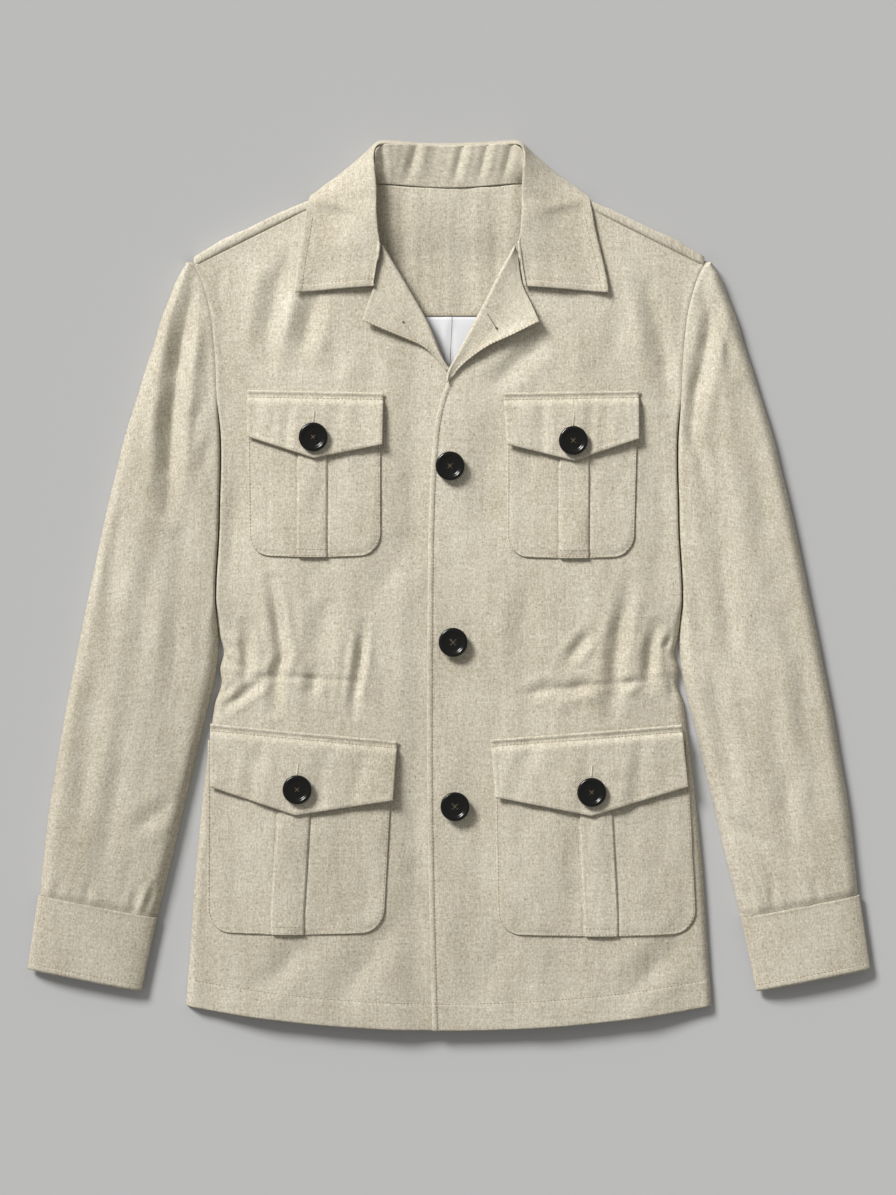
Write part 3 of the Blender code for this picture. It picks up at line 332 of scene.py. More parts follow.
# Creases of the fronts: depth (a ridge is below zero), half width, bank beside the trough,
# then x and y along it
BODY_CREASES = [
    # gathers on the wearer's right of the waist
    (4.2, 4.6, 0.4, (-158, 4), (-150, -40), (-147.5, -62), (-152, -77), (-154.5, -110)),
    (3.4, 4.4, 0.4, (-180.5, -36), (-179, -66), (-179.5, -90)),
    (2.8, 4.2, 0.4, (-158.5, -78), (-168, -86), (-181, -96), (-204, -111)),
    (3, 3.8, 0.5, (-75, -34), (-78.5, -62), (-83.5, -97), (-84.5, -114)),
    (2, 9, 0.25, (-106, -8), (-110, -32), (-116.5, -60)),
    (2.6, 5, 0.4, (-118.5, -76), (-121.5, -98)),
    (2.4, 3.4, 0.4, (-204, -44), (-191.5, -61)),
    (2.2, 3, 0.4, (-198, -62), (-185, -75)),
    (2.2, 3.4, 0.4, (-203, -98), (-190, -88)),
    (1, 2.4, 0.2, (-204, -80), (-180, -81.5), (-150, -80.5), (-97, -84), (-62, -86)),
    (-1.3, 6, 0, (-165, -38), (-164.5, -104)),
    (-1.1, 6, 0, (-192, -64), (-191, -104)),
    (-1.3, 7, 0, (-134, -40), (-136.5, -108)),
    (-1.2, 7, 0, (-97, -50), (-100, -106)),
    (-0.8, 5, 0, (-66, -56), (-69, -104)),
    # gathers on the wearer's left of the waist
    (3.2, 6, 0.35, (158.5, 4), (151.7, -38), (147, -64), (147.2, -88), (142, -116)),
    (3.3, 4.6, 0.4, (183, -36), (178, -60), (176.5, -90)),
    (2.2, 4.6, 0.35, (126, -40), (109, -62), (103, -69)),
    (1.8, 5, 0.35, (68, -97.5), (86, -91), (97, -92)),
    (1.7, 5, 0.35, (100, -93), (112, -91.5), (130, -86)),
    (2.1, 3.6, 0.4, (164, -84), (154, -90)),
    (2.2, 3.2, 0.4, (197, -76), (199.5, -102)),
    (2, 3.2, 0.4, (197.5, -44), (190, -58)),
    (0.9, 2.4, 0.2, (200, -82), (178, -84), (148, -86.5), (96, -91.5), (60, -97)),
    (-1.3, 6.5, 0, (165, -38), (162.5, -106)),
    (-1.2, 7, 0, (128, -74), (126, -112)),
    (-1.1, 7, 0, (100, -98), (97, -116)),
    (-0.9, 6, 0, (190, -66), (188, -104)),
    # drapes of the chest
    (2.2, 8, 0.35, (-140, 296), (-151, 272), (-160.5, 226), (-160, 200)),
    (2.3, 8, 0.35, (-116, 262), (-122, 240), (-134.5, 198)),
    (1.6, 5, 0.3, (-202, 292), (-205, 262), (-196, 226)),
    (-1.2, 11, 0, (-137, 262), (-149, 196)),
    (-1, 10, 0, (-172, 276), (-178, 204)),
    (1.2, 9, 0.2, (-98, 218), (-104, 180)),
    (2.2, 8, 0.3, (171, 290), (181, 238), (191, 205), (195, 150)),
    (1.8, 9, 0.3, (92, 224), (66, 204), (34, 172)),
    (1.3, 10, 0.25, (150, 250), (148, 190)),
    (-1, 11, 0, (163, 270), (168, 190)),
    (-0.9, 10, 0, (118, 232), (112, 184)),
    (-1, 8, 0, (70, 222), (36, 190)),
    # drapes between the pockets, at the sides and in the skirt
    (1.6, 13, 0.25, (-26, 60), (-46, 20), (-66, -10)),
    (1.3, 12, 0.2, (40, 150), (30, 96), (34, 30)),
    (1.1, 9, 0.2, (-36, 150), (-34, 80), (-30, 66)),
    (1.2, 9, 0.2, (-184, 110), (-191, 60), (-192, -10)),
    (1.2, 9, 0.2, (186, 120), (190, 60), (187, -20)),
    (0.9, 9, 0.2, (-124, 20), (-122, -20)),
    (0.9, 9, 0.2, (72, 14), (66, -40), (70, -76)),
    (-0.9, 12, 0, (50, 20), (46, -90)),
    (-0.8, 12, 0, (-40, -20), (-42, -110)),
    (1.1, 12, 0.2, (-32, -130), (-30, -240), (-34, -374)),
    (1, 12, 0.2, (24, -150), (28, -250), (24, -380)),
    (1, 9, 0.2, (-216, -220), (-218, -330)),
    (0.9, 10, 0.2, (-180, -318), (-176, -366)),
    (0.9, 12, 0.2, (-96, -314), (-92, -384)),
    (0.9, 11, 0.2, (96, -316), (100, -382)),
    (0.8, 10, 0.2, (176, -320), (182, -366)),
    (1.4, 10, 0.3, (-94, -369), (-70, -329), (-38, -288)),
    (1.4, 10, 0.3, (-174, -366), (-141, -329), (-118, -314)),
    (1.2, 9, 0.3, (30, -366), (45, -320), (40, -260)),
    (1.3, 11, 0.3, (145, -374), (192, -329), (214, -300)),
]
SLEEVE_CREASES = [
    (5.6, 7.2, 0.3, (-223.5, 276), (-230, 251), (-239, 206), (-246, 150), (-249, 66)),
    (1.8, 3, 0.4, (-214, 273), (-217, 244)),
    (0.9, 4.6, 0.3, (-206, 134), (-215, 118), (-219, 96)),
    (0.8, 5, 0.3, (-208.5, 176), (-224, 148), (-231, 118)),
    (-1.2, 8, 0, (-222, 232), (-228, 160), (-230, 90)),
    (-1.3, 12, 0, (-252, 214), (-266, 130), (-272, 40)),
    (1.7, 9, 0.3, (-286, 96), (-296, 30), (-306, -40)),
    (1.4, 8, 0.3, (-262, 40), (-272, -30), (-282, -110)),
    (1.2, 7, 0.3, (-236, 20), (-242, -60), (-250, -120)),
    (1.3, 9, 0.3, (-312, -70), (-322, -150), (-330, -230)),
    (1.4, 7, 0.3, (-242, -190), (-262, -204), (-282, -218)),
    (1.3, 8, 0.3, (-290, -130), (-296, -190), (-310, -262)),
    (1.8, 3, 0.6, (-260.5, -266), (-266, -282), (-270.5, -293)),
    (1.1, 3.4, 0.4, (-276, -268), (-281, -292)),
    (0.9, 4, 0.3, (-318, -262), (-322, -284)),
    (0.8, 4, 0.3, (-344, -258), (-348, -278)),
    (3.8, 7, 0.3, (221, 276), (231, 242), (230, 222), (219, 170), (213, 120)),
    (1.6, 5, 0.3, (238, 236), (246, 214), (250, 190)),
    (1.8, 5, 0.3, (207, 150), (222, 118), (226, 90)),
    (-1.2, 9, 0, (238, 236), (248, 150), (250, 60)),
    (1.8, 10, 0.3, (262, 150), (280, 60), (288, 0)),
    (1.5, 8, 0.3, (238, 60), (246, -20), (258, -90)),
    (1.4, 9, 0.3, (300, 10), (312, -80), (322, -160)),
    (1.3, 7, 0.3, (232, -60), (240, -120), (256, -190)),
    (1.4, 8, 0.3, (282, -90), (298, -170), (304, -240)),
    (1.3, 7, 0.3, (246, -206), (268, -222), (290, -240)),
    (1.6, 3, 0.6, (262.5, -264), (268, -280), (273, -293)),
    (1.1, 3.6, 0.4, (284, -262), (290, -290)),
    (0.9, 4, 0.3, (322, -258), (328, -284)),
]
# Creases of the collar's stand: depth, half width, x at the top edge and at the seam
STAND_CREASES = [
    (2.2, 3, -60, -57),
    (1.7, 3.6, -28.5, -38),
    (-0.9, 4, -20, -26),
    (1.6, 3.4, 12.5, 3),
    (-0.8, 4, 20, 12),
    (1.5, 3.2, 34, 25),
    (-0.8, 3.6, 42, 34),
    (1.9, 3.2, 55.5, 47),
    (-0.7, 5, -45, -48),
]

# Tone of the cloth beside its threads: noise cells a metre across and along, detail, amount
CLOTH_LAYERS = [
    ((560, 430), 2, 1.15),    # fibres
    ((260, 34), 2, 0.4),     # slubs down the cloth
    ((34, 300), 2, 0.34),     # slubs across the cloth
    ((70, 7), 1, 0.22),       # soft bands down the cloth
    ((15, 9), 2, 0.5),       # clouds
]


class Side(Enum):
    """The wearer's side of a paired piece."""

    RIGHT = -1.0
    LEFT = 1.0

    @property
    def label(self) -> str:
        """The word that ends a piece's name."""
        return self.name.lower()


class Held(Enum):
    """How a sheet of cloth is held."""

    LAID = "laid"
    FOLDED = "folded"


def smooth(value: Numbers) -> Numbers:
    """A soft step: 0 up to a value of 0, and 1 from a value of 1 on."""
    value = np.clip(value, 0.0, 1.0)
    return value * value * (3.0 - 2.0 * value)


def mix(a: Numbers, b: Numbers, share: Numbers) -> Numbers:
    """The value at a share of the way from a to b."""
    return a + (b - a) * share


def hermite(keys: Numbers, values: Numbers, at: Numbers) -> Array:
    """Read a table along one smooth curve.

    Args:
        keys: rising positions of the rows.
        values: a number, or several, for each row.
        at: positions to read, of any shape.

    Returns:
        The values there, with the table's own columns last.
    """
    keys = np.asarray(keys, float)
    values = np.asarray(values, float)
    at = np.clip(np.asarray(at, float), keys[0], keys[-1])
    slopes = np.gradient(values, keys, axis=0)
    low = np.clip(np.searchsorted(keys, at, side="right") - 1, 0, len(keys) - 2)
    width = keys[low + 1] - keys[low]
    t = (at - keys[low]) / width
    if values.ndim > 1:
        width = width[..., None]
        t = t[..., None]
    start = (1.0 + 2.0 * t) * (1.0 - t) ** 2 * values[low] + t * (1.0 - t) ** 2 * width * slopes[low]
    end = t * t * (3.0 - 2.0 * t) * values[low + 1] - t * t * (1.0 - t) * width * slopes[low + 1]
    return start + end


def cornered(rows: Array, places: Array, corner: int) -> Array:
    """Read a table along two smooth curves that meet at a corner.

    Args:
        rows: the table.
        places: positions along its rows.
        corner: the row at which the curves meet.

    Returns:
        One row of values for each place.
    """
    index = np.arange(len(rows))
    before = hermite(index[:corner + 1], rows[:corner + 1], places)
    after = hermite(index[corner:], rows[corner:], places)
    return np.where((places <= corner)[:, None], before, after)


def catmull(controls: Array, count: int) -> Array:
    """Points on a smooth curve through control points.

    Args:
        controls: rows of control points.
        count: how many points each row gets.

    Returns:
        The points, row by row.
    """
    last = controls.shape[1] - 1
    place = np.linspace(0.0, last, count)
    index = np.minimum(place.astype(int), last - 1)
    t = (place - index)[None, :, None]
    before = controls[:, np.maximum(index - 1, 0)]
    start = controls[:, index]
    end = controls[:, index + 1]
    after = controls[:, np.minimum(index + 2, last)]
    return 0.5 * (2.0 * start + (end - before) * t
                  + (2.0 * before - 5.0 * start + 4.0 * end - after) * t ** 2
                  + (3.0 * start - before - 3.0 * end + after) * t ** 3)


def spread(length: float, step: float, marks: tuple[float, ...] = ()) -> Array:
    """Distances along a length, closer together around each mark.

    Args:
        length: the whole length.
        step: about how far the distances are apart.
        marks: where a row of stitches needs more of them.

    Returns:
        Rising distances from 0 to the length.
    """
    even = np.linspace(0.0, length, max(2, int(round(length / step)) + 1))
    close = [mark + offset for mark in marks for offset in (-1.8, -0.9, 0.0, 0.9, 1.8)]
    places = np.unique(np.clip(np.concatenate([even, close]), 0.0, length))
    kept = [0.0]
    for place in places[1:]:
        if place - kept[-1] >= 0.2 * step:
            kept.append(float(place))
    kept[-1] = length
    return np.array(kept)


def row_places(distances: Array, step: float, marks: tuple[float, ...] = ()) -> Array:
    """Places along a table's rows, about a step apart, and closer at some marks."""
    along = np.concatenate([[0.0], np.cumsum(np.abs(distances))])
    return np.interp(spread(along[-1], step, marks), along, np.arange(len(along)))


def arc_lengths(points: Array, axis: int) -> Array:
    """Distance along each row (axis 1) or column (axis 0) of a grid of points."""
    steps = np.linalg.norm(np.diff(points, axis=axis), axis=2)
    start = np.zeros_like(np.take(steps, [0], axis=axis))
    return np.concatenate([start, np.cumsum(steps, axis=axis)], axis=axis)


def grid_normals(points: Array) -> Array:
    """Unit normals of a grid of points."""
    normals = np.cross(np.gradient(points, axis=1), np.gradient(points, axis=0))
    return normals / np.linalg.norm(normals, axis=2, keepdims=True)


def inset_line(points: Array, distance: float, axis: int = 1, from_end: bool = False) -> Array:
    """A line on a grid of points, at a distance from one of its edges.

    Args:
        points: the grid.
        distance: how far inside the edge.
        axis: 1 to measure along the rows, 0 along the columns.
        from_end: measures from the last column or row, not the first.

    Returns:
        One point for each row or column.
    """
    if axis == 0:
        points = points.transpose(1, 0, 2)
    if from_end:
        points = points[:, ::-1]
    return np.array([[np.interp(distance, arc, line[:, k]) for k in range(3)]
                     for arc, line in zip(arc_lengths(points, 1), points)])


def ripple(x: Numbers, y: Numbers, across: float, along: float, seed: int) -> Array:
    """Smooth random heights.

    Args:
        x, y: places on the cloth.
        across: size of the waves in x.
        along: size of the waves in y.
        seed: picks the heights.

    Returns:
        Heights from -1 to 1.
    """
    lattice = np.random.default_rng(seed).uniform(-1.0, 1.0, (64, 64))
    u = np.asarray(x) / across + 900.0
    v = np.asarray(y) / along + 900.0
    i = np.floor(u).astype(int)
    j = np.floor(v).astype(int)
    s = smooth(u - i)
    t = smooth(v - j)
    near = mix(lattice[i % 64, j % 64], lattice[(i + 1) % 64, j % 64], s)
    far = mix(lattice[i % 64, (j + 1) % 64], lattice[(i + 1) % 64, (j + 1) % 64], s)
    return mix(near, far, t)


@dataclass(frozen=True)
class Waves:
    """One layer of the soft waves in laid cloth."""

    height: float
    across: float
    along: float
    seed: int


BODY_WAVES = (Waves(1.1, 46.0, 130.0, 1), Waves(0.55, 19.0, 60.0, 2), Waves(0.18, 8.0, 12.0, 3))


def soft_waves(layers: tuple[Waves, ...], x: Numbers, y: Numbers) -> Array:
    """Sum of some layers of waves."""
    return sum(layer.height * ripple(x, y, layer.across, layer.along, layer.seed) for layer in layers)


@dataclass(frozen=True)
class TurnedEdge:
    """An edge of cloth that is turned in and sewn down."""

    stitch: float  # distance of the topstitch from the edge
    rise: float = 0.5  # how full the edge is
    groove: float = 0.45  # how deep the stitches pull it in
    seed: int = 0
    rim: float = 0.6  # how far the very edge rounds off
    pucker_height: float = 0.22
    pucker_size: float = 7.0

    def fold(self, distance: Numbers) -> Array:
        """Extra height: round at the rim, full, then pulled in at the stitches.

        Args:
            distance: from the edge.

        Returns:
            Height to add.
        """
        full = self.rise * (1.0 - smooth((distance - self.stitch) / 2.4 + 0.4))
        pulled = self.groove * np.exp(-((distance - self.stitch) / 0.95) ** 2)
        rim = self.rim * np.exp(-np.clip(distance, 0.0, None) / 0.7)
        return np.where(distance < self.stitch + 12.0, full - pulled - rim, 0.0)

    def pucker(self, distance: Numbers, x: Numbers, y: Numbers) -> Array:
        """Small waves that the stitches leave in the cloth beside them."""
        band = np.exp(-((distance - self.stitch) / 5.0) ** 2)
        return self.pucker_height * band * ripple(x, y, self.pucker_size, self.pucker_size, self.seed)


def trough(distance: Numbers, half_width: float, bank: float) -> Array:
    """Cross-section of a crease: 1 deep on its line, with a bank on each side."""
    share = np.abs(distance / half_width)
    return np.exp(-share ** 1.6) - bank * np.exp(-((share - 2.0) / 0.8) ** 2)


def crease_depth(x: Array, y: Array, creases: list[tuple]) -> Array:
    """Sum of some creases; each fades at its ends and wavers along its length.

    Args:
        x, y: places on the cloth.
        creases: rows of depth, half width, bank and points.

    Returns:
        Depth at each place.
    """
    total = np.zeros(np.broadcast(x, y).shape)
    x = np.broadcast_to(x, total.shape)
    y = np.broadcast_to(y, total.shape)
    for depth, half_width, bank, *points in creases:
        line = np.array(points)
        reach = 4.0 * half_width
        near = ((x > line[:, 0].min() - reach) & (x < line[:, 0].max() + reach)
                & (y > line[:, 1].min() - reach) & (y < line[:, 1].max() + reach))
        if not near.any():
            continue
        px, py = x[near], y[near]
        away = np.full(px.shape, np.inf)
        share = np.zeros(px.shape)
        steps = np.diff(line, axis=0)
        lengths = np.hypot(steps[:, 0], steps[:, 1])
        for k, (dx, dy) in enumerate(steps):
            along = ((px - line[k, 0]) * dx + (py - line[k, 1]) * dy) / lengths[k] ** 2
            along = np.clip(along, 0.0, 1.0)
            gap = np.hypot(px - line[k, 0] - along * dx, py - line[k, 1] - along * dy)
            closer = gap < away
            away = np.where(closer, gap, away)
            share = np.where(closer, (lengths[:k].sum() + along * lengths[k]) / lengths.sum(), share)
        ends = smooth(share / 0.35) * smooth((1.0 - share) / 0.35)
        waver = 1.0 + 0.25 * ripple(px, py, 18.0, 18.0, 5)
        total[near] += depth * (0.25 + 0.75 * ends) * waver * trough(away, half_width, bank)
    return total


def side_x(y: Numbers) -> Array:
    """Where a front ends at the side or armhole, as a distance from the middle."""
    table = np.array(SIDE)
    return hermite(table[:, 0], table[:, 1], y) - GAP / 2.0


def outline_y(x: Numbers) -> Array:
    """y of the shoulder's outline."""
    table = np.array(SHOULDER)
    return hermite(table[:, 0], table[:, 1], np.abs(x))


def shoulder_y(x: Numbers) -> Array:
    """y of the shoulder's seam."""
    table = np.array(SHOULDER)
    return hermite(table[:, 0], table[:, 2], np.abs(x))


def seam_share(y: Numbers) -> Array:
    """0 below the armpit, where the side comes down to the floor, and 1 up the armhole."""
    return smooth((y - ARMPIT_Y) / ARMHOLE_BLEND)


def contact_share(y: Numbers) -> Array:
    """1 from the armpit down, where the sleeve presses against the side, and 0 below that."""
    return smooth((y - CONTACT_END_Y) / CONTACT_FADE)


def quarter_roll(distance: Numbers, reach: Numbers) -> Array:
    """Height share of a rolled edge: 0 at the edge and 1 from the reach on."""
    share = np.clip(distance / reach, 0.0, 1.0)
    return np.sqrt(1.0 - (1.0 - share) ** 2)


def hem_y(x: Numbers) -> Array:
    """The hem is lowest in the middle."""
    half = np.interp(HEM_SIDE_Y, *np.array(SIDE).T)
    return HEM_SIDE_Y - HEM_DIP * (1.0 - (x / half) ** 2)


def neck_y(x: Numbers) -> Array:
    """The seam of the collar at the back of the neck."""
    return NECK_SEAM_Y + NECK_CURVE * (np.minimum(np.abs(x), NECK_HALF) / NECK_HALF) ** 2


@dataclass(frozen=True)
class Rise:
    """Where the cloth lies higher towards the neck."""

    height: float
    from_y: float
    length: float
    half_width: float
    side_length: float

    def at(self, x: Numbers, y: Numbers) -> Array:
        """Height to add at some places."""
        across = smooth((self.half_width - np.abs(x)) / self.side_length)
        return self.height * smooth((y - self.from_y) / self.length) * across


HIDDEN_LEAF = Rise(2.1, 285.0, 36.0, 150.0, 28.0)  # the back rides over the leaf folded under it
STAND_SEAM = Rise(4.5, 272.0, 82.0, 72.0, 16.0)  # the cloth in the neck rises to the stand


def under_drop(x: Numbers) -> Array:
    """How much lower the under front lies where the other front covers it."""
    return OVERLAP_DROP * smooth((x - DROP_FROM_X) / (DROP_TO_X - DROP_FROM_X))


def body_height(x: Array, y: Array) -> Array:
    """Outer surface of the fronts, with their creases, as if neither lay under the other."""
    inside = side_x(y) - np.abs(x)
    share = seam_share(y)
    contact = contact_share(y)
    edge_height = mix(EDGE_HEIGHT, CONTACT_HEIGHT, contact)
    rolled = edge_height * quarter_roll(inside, mix(EDGE_ROLL, CONTACT_ROLL, contact))
    crown = CROWN + EDGE_HEIGHT - mix(edge_height, SEAM_HEIGHT, share)
    height = mix(rolled, SEAM_HEIGHT, share) + crown * smooth(inside / CROWN_REACH)
    creases = CREASE_DEPTH * crease_depth(x, y, BODY_CREASES)
    return height + smooth(inside / FOLD_FADE) * (soft_waves(BODY_WAVES, x, y) - creases)


def front_height(x: Array, y: Array) -> Array:
    """Outer surface of whichever front shows, brought down to the seam at the shoulder."""
    fall = smooth((shoulder_y(x) - y) / SHOULDER_BLEND)
    return mix(SEAM_HEIGHT, body_height(x, y), fall)


def pocket_base(x: Array, y: Array) -> Array:
    """What a pocket or flap lies on; it stays level over the rolled side."""
    inside = np.minimum(np.abs(x), side_x(y) - EDGE_ROLL)
    drop = np.where(x < 0.0, under_drop(x), 0.0)
    return front_height(np.copysign(inside, x), y) - drop


def add_object(name: str, data: ID) -> Object:
    """Link a new object to the scene.

    Args:
        name: the object's name.
        data: its mesh, lamp or camera.

    Returns:
        The object.
    """
    made = bpy.data.objects.new(name, data)
    bpy.context.scene.collection.objects.link(made)
    return made


def add_piece(name: str, mesh: Mesh, replaces: str = "",
              wall: float = 0.0) -> Object:
    """Add a finished mesh as a piece of the jacket's one body.

    Args:
        name: the piece's name.
        mesh: its mesh.
        replaces: the solid that it stands for, if any.
        wall: thickness that the mesh still gets, under its faces.

    Returns:
        The piece.
    """
    piece = add_object(name, mesh)
    if wall:
        shell = piece.modifiers.new("Thickness", "SOLIDIFY")
        shell.thickness = wall * MM
        shell.offset = -1.0
    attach(piece, "root")
    if replaces:
        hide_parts(replaces)
    return piece


def mesh_of(form: bmesh.types.BMesh, name: str) -> Mesh:
    """Turn a form into a mesh and let the form go.

    Args:
        form: the form.
        name: the mesh's name.

    Returns:
        The mesh.
    """
    mesh = bpy.data.meshes.new(name)
    form.to_mesh(mesh)
    form.free()
    return mesh


def wire_mesh(lines: list[Array], name: str) -> Mesh:
    """Join the points of each line with edges.

    Args:
        lines: rows of points, in millimetres.
        name: the mesh's name.

    Returns:
        The mesh.
    """
    form = bmesh.new()
    for line in lines:
        verts = [form.verts.new(point) for point in line * MM]
        for start, end in zip(verts, verts[1:]):
            form.edges.new((start, end))
    return mesh_of(form, name)


def evaluated_mesh(made: Object) -> Mesh:
    """A plain mesh of an object, with its modifiers applied."""
    bpy.context.view_layer.update()
    depsgraph = bpy.context.evaluated_depsgraph_get()
    return bpy.data.meshes.new_from_object(made.evaluated_get(depsgraph))


def cloth_top(places: Array) -> Array:
    """Height of the highest cloth, found by looking straight down.

    Args:
        places: x and y of each place.

    Returns:
        One height for each place.
    """
    bpy.context.view_layer.update()
    depsgraph = bpy.context.evaluated_depsgraph_get()
    heights = []
    for x, y in places:
        hit, point, *_ = bpy.context.scene.ray_cast(depsgraph, (x * MM, y * MM, 0.2), (0.0, 0.0, -1.0))
        heights.append(point.z / MM if hit else 0.0)
    return np.array(heights)


class Graph:
    """Adds nodes to a tree and joins them."""

    def __init__(self, tree: NodeTree) -> None:
        self.tree = tree

    def add(self, kind: str, inputs: dict | None = None, **settings) -> Node:
        """Add a node.

        Args:
            kind: the node's type.
            inputs: a number, colour or socket for each input's name or place.
            settings: the node's own options.

        Returns:
            The node.
        """
        node = self.tree.nodes.new(kind)
        for name, value in settings.items():
            setattr(node, name, value)
        self.fill(node, inputs or {})
        return node

    def fill(self, node: Node, inputs: dict) -> None:
        """Set or link a node's inputs.

        Args:
            node: the node.
            inputs: a number, colour or socket for each input's name or place.
        """
        for key, value in inputs.items():
            if isinstance(value, NodeSocket):
                self.tree.links.new(value, node.inputs[key])
            else:
                node.inputs[key].default_value = value

    def math(self, operation: str, a: NodeSocket | float,
             b: NodeSocket | float) -> NodeSocket:
        """One sum, product or other step of arithmetic."""
        return self.add("ShaderNodeMath", {0: a, 1: b}, operation=operation).outputs[0]

    def blend(self, share: NodeSocket, deep: NodeSocket | tuple,
              pale: tuple) -> NodeSocket:
        """A colour between two others."""
        node = self.add("ShaderNodeMix", {"Factor": share, 6: deep, 7: pale}, data_type="RGBA")
        return node.outputs[2]

    def noise(self, vector: NodeSocket, scale: Pair,
              detail: float) -> NodeSocket:
        """Noise stretched by a scale for each direction of the cloth."""
        placed = self.add("ShaderNodeMapping", {"Vector": vector, "Scale": (*scale, 1.0)}).outputs[0]
        inputs = {"Vector": placed, "Scale": 1.0, "Detail": detail, "Roughness": 0.6}
        return self.add("ShaderNodeTexNoise", inputs, noise_dimensions="2D").outputs[0]


def new_material(name: str) -> tuple[Material, Graph, Node]:
    """A material with its graph and its shader."""
    material = bpy.data.materials.new(name)
    material.use_nodes = True
    return material, Graph(material.node_tree), material.node_tree.nodes["Principled BSDF"]


@dataclass(frozen=True)
class Weave:
    """A plain-woven cloth: colours are linear, and the noises are in cells a metre."""

    name: str
    pale: Colour
    deep: Colour
    fleck: Colour
    pitch: float  # width of a thread in metres
    slub_contrast: float
    bump: float
    roughness: float
    sheen: float
    middle_tone: float = 0.55
    warp: Pair = (900.0, 190.0)
    weft: Pair = (210.0, 900.0)
    warp_amount: float = 0.75
    weft_amount: float = 0.7
    flecks: Pair = (420.0, 380.0)
    fleck_from: float = 0.83
    fleck_to: float = 0.93
    fleck_strength: float = 0.70
    thread_height: float = 0.0004
    specular: float = 0.15

    def material(self) -> Material:
        """Threads, slubs along both ways, flecks and a soft change of tone."""
        material, graph, shader = new_material(self.name)
        grain = graph.add("ShaderNodeUVMap", uv_map="Grain").outputs["UV"]
        warp = graph.noise(grain, self.warp, 2.0)
        weft = graph.noise(grain, self.weft, 2.0)
        layers = [(warp, self.warp_amount), (weft, self.weft_amount)]
        for scale, detail, amount in CLOTH_LAYERS:
            layers.append((graph.noise(grain, scale, detail), amount))
        tone = self.middle_tone
        for layer, amount in layers:
            part = graph.math("MULTIPLY", graph.math("SUBTRACT", layer, 0.5), amount * self.slub_contrast)
            tone = graph.math("ADD", part, tone)
        colour = graph.blend(tone, self.deep, self.pale)
        specks = graph.noise(grain, self.flecks, 0.0)
        dark = graph.add("ShaderNodeMapRange", {"Value": specks, 1: self.fleck_from, 2: self.fleck_to,
                                                3: 0.0, 4: self.fleck_strength}).outputs[0]
        waves = []
        for direction in ("X", "Y"):
            wave = graph.add("ShaderNodeTexWave", {"Vector": grain, "Scale": math.pi / (10.0 * self.pitch)},
                             bands_direction=direction)
            waves.append(wave.outputs["Fac"])
        threads = graph.math("MULTIPLY", *waves)
        relief = graph.math("ADD", threads, graph.math("ADD", warp, weft))
        bump = graph.add("ShaderNodeBump", {"Strength": self.bump, "Distance": self.thread_height,
                                            "Height": relief}).outputs[0]
        graph.fill(shader, {"Base Color": graph.blend(dark, colour, self.fleck), "Normal": bump,
                            "Roughness": self.roughness, "Sheen Weight": self.sheen,
                            "Specular IOR Level": self.specular})
        return material


@dataclass(frozen=True)
class Plain:
    """One colour with a faint mottle, for thread and horn."""

    name: str
    colour: Colour
    roughness: float
    mottle: float
    coat: float = 0.0
    coat_roughness: float = 0.08
    specular: float = 0.3
    cloud_scale: float = 260.0

    def material(self) -> Material:
        """The colour, a little deeper and paler in turns."""
        material, graph, shader = new_material(self.name)
        place = graph.add("ShaderNodeTexCoord").outputs["Object"]
        inputs = {"Vector": place, "Scale": self.cloud_scale, "Detail": 3.0}
        cloud = graph.add("ShaderNodeTexNoise", inputs).outputs[0]
        deep = tuple(part * (1.0 - self.mottle) for part in self.colour) + (1.0,)
        pale = tuple(min(part * (1.0 + self.mottle), 1.0) for part in self.colour) + (1.0,)
        graph.fill(shader, {"Base Color": graph.blend(cloud, deep, pale), "Roughness": self.roughness,
                            "Coat Weight": self.coat, "Coat Roughness": self.coat_roughness,
                            "Specular IOR Level": self.specular})
        return material


LINEN = Weave("linen", (0.670, 0.638, 0.542, 1.0), (0.358, 0.309, 0.221, 1.0), (0.24, 0.18, 0.11, 1.0),
              0.00074, 1.0, 0.50, 0.90, 0.15)
LINING = Weave("lining", (0.66, 0.67, 0.70, 1.0), (0.58, 0.59, 0.62, 1.0), (0.58, 0.59, 0.62, 1.0),
               0.00035, 0.12, 0.12, 0.50, 0.30)
STITCH_THREAD = Plain("stitch", (0.24, 0.19, 0.12), 0.8, 0.15)
PALE_THREAD = Plain("thread", (0.90, 0.87, 0.76), 0.7, 0.05)
DARK_THREAD = Plain("dark_thread", (0.10, 0.08, 0.05), 0.8, 0.10)
HORN = Plain("horn", (0.004, 0.004, 0.004), 0.20, 0.35, 0.15)


@dataclass
class Wardrobe:
    """The materials of the jacket, made once and shared by its pieces."""

    linen: Material = field(default_factory=LINEN.material)
    lining: Material = field(default_factory=LINING.material)
    stitch: Material = field(default_factory=STITCH_THREAD.material)
    thread: Material = field(default_factory=PALE_THREAD.material)
    dark_thread: Material = field(default_factory=DARK_THREAD.material)
    horn: Material = field(default_factory=HORN.material)


@dataclass(frozen=True)
class Cut:
    """Flat size of what shows of a piece, in metres and square metres."""

    width: float
    length: float
    area: float


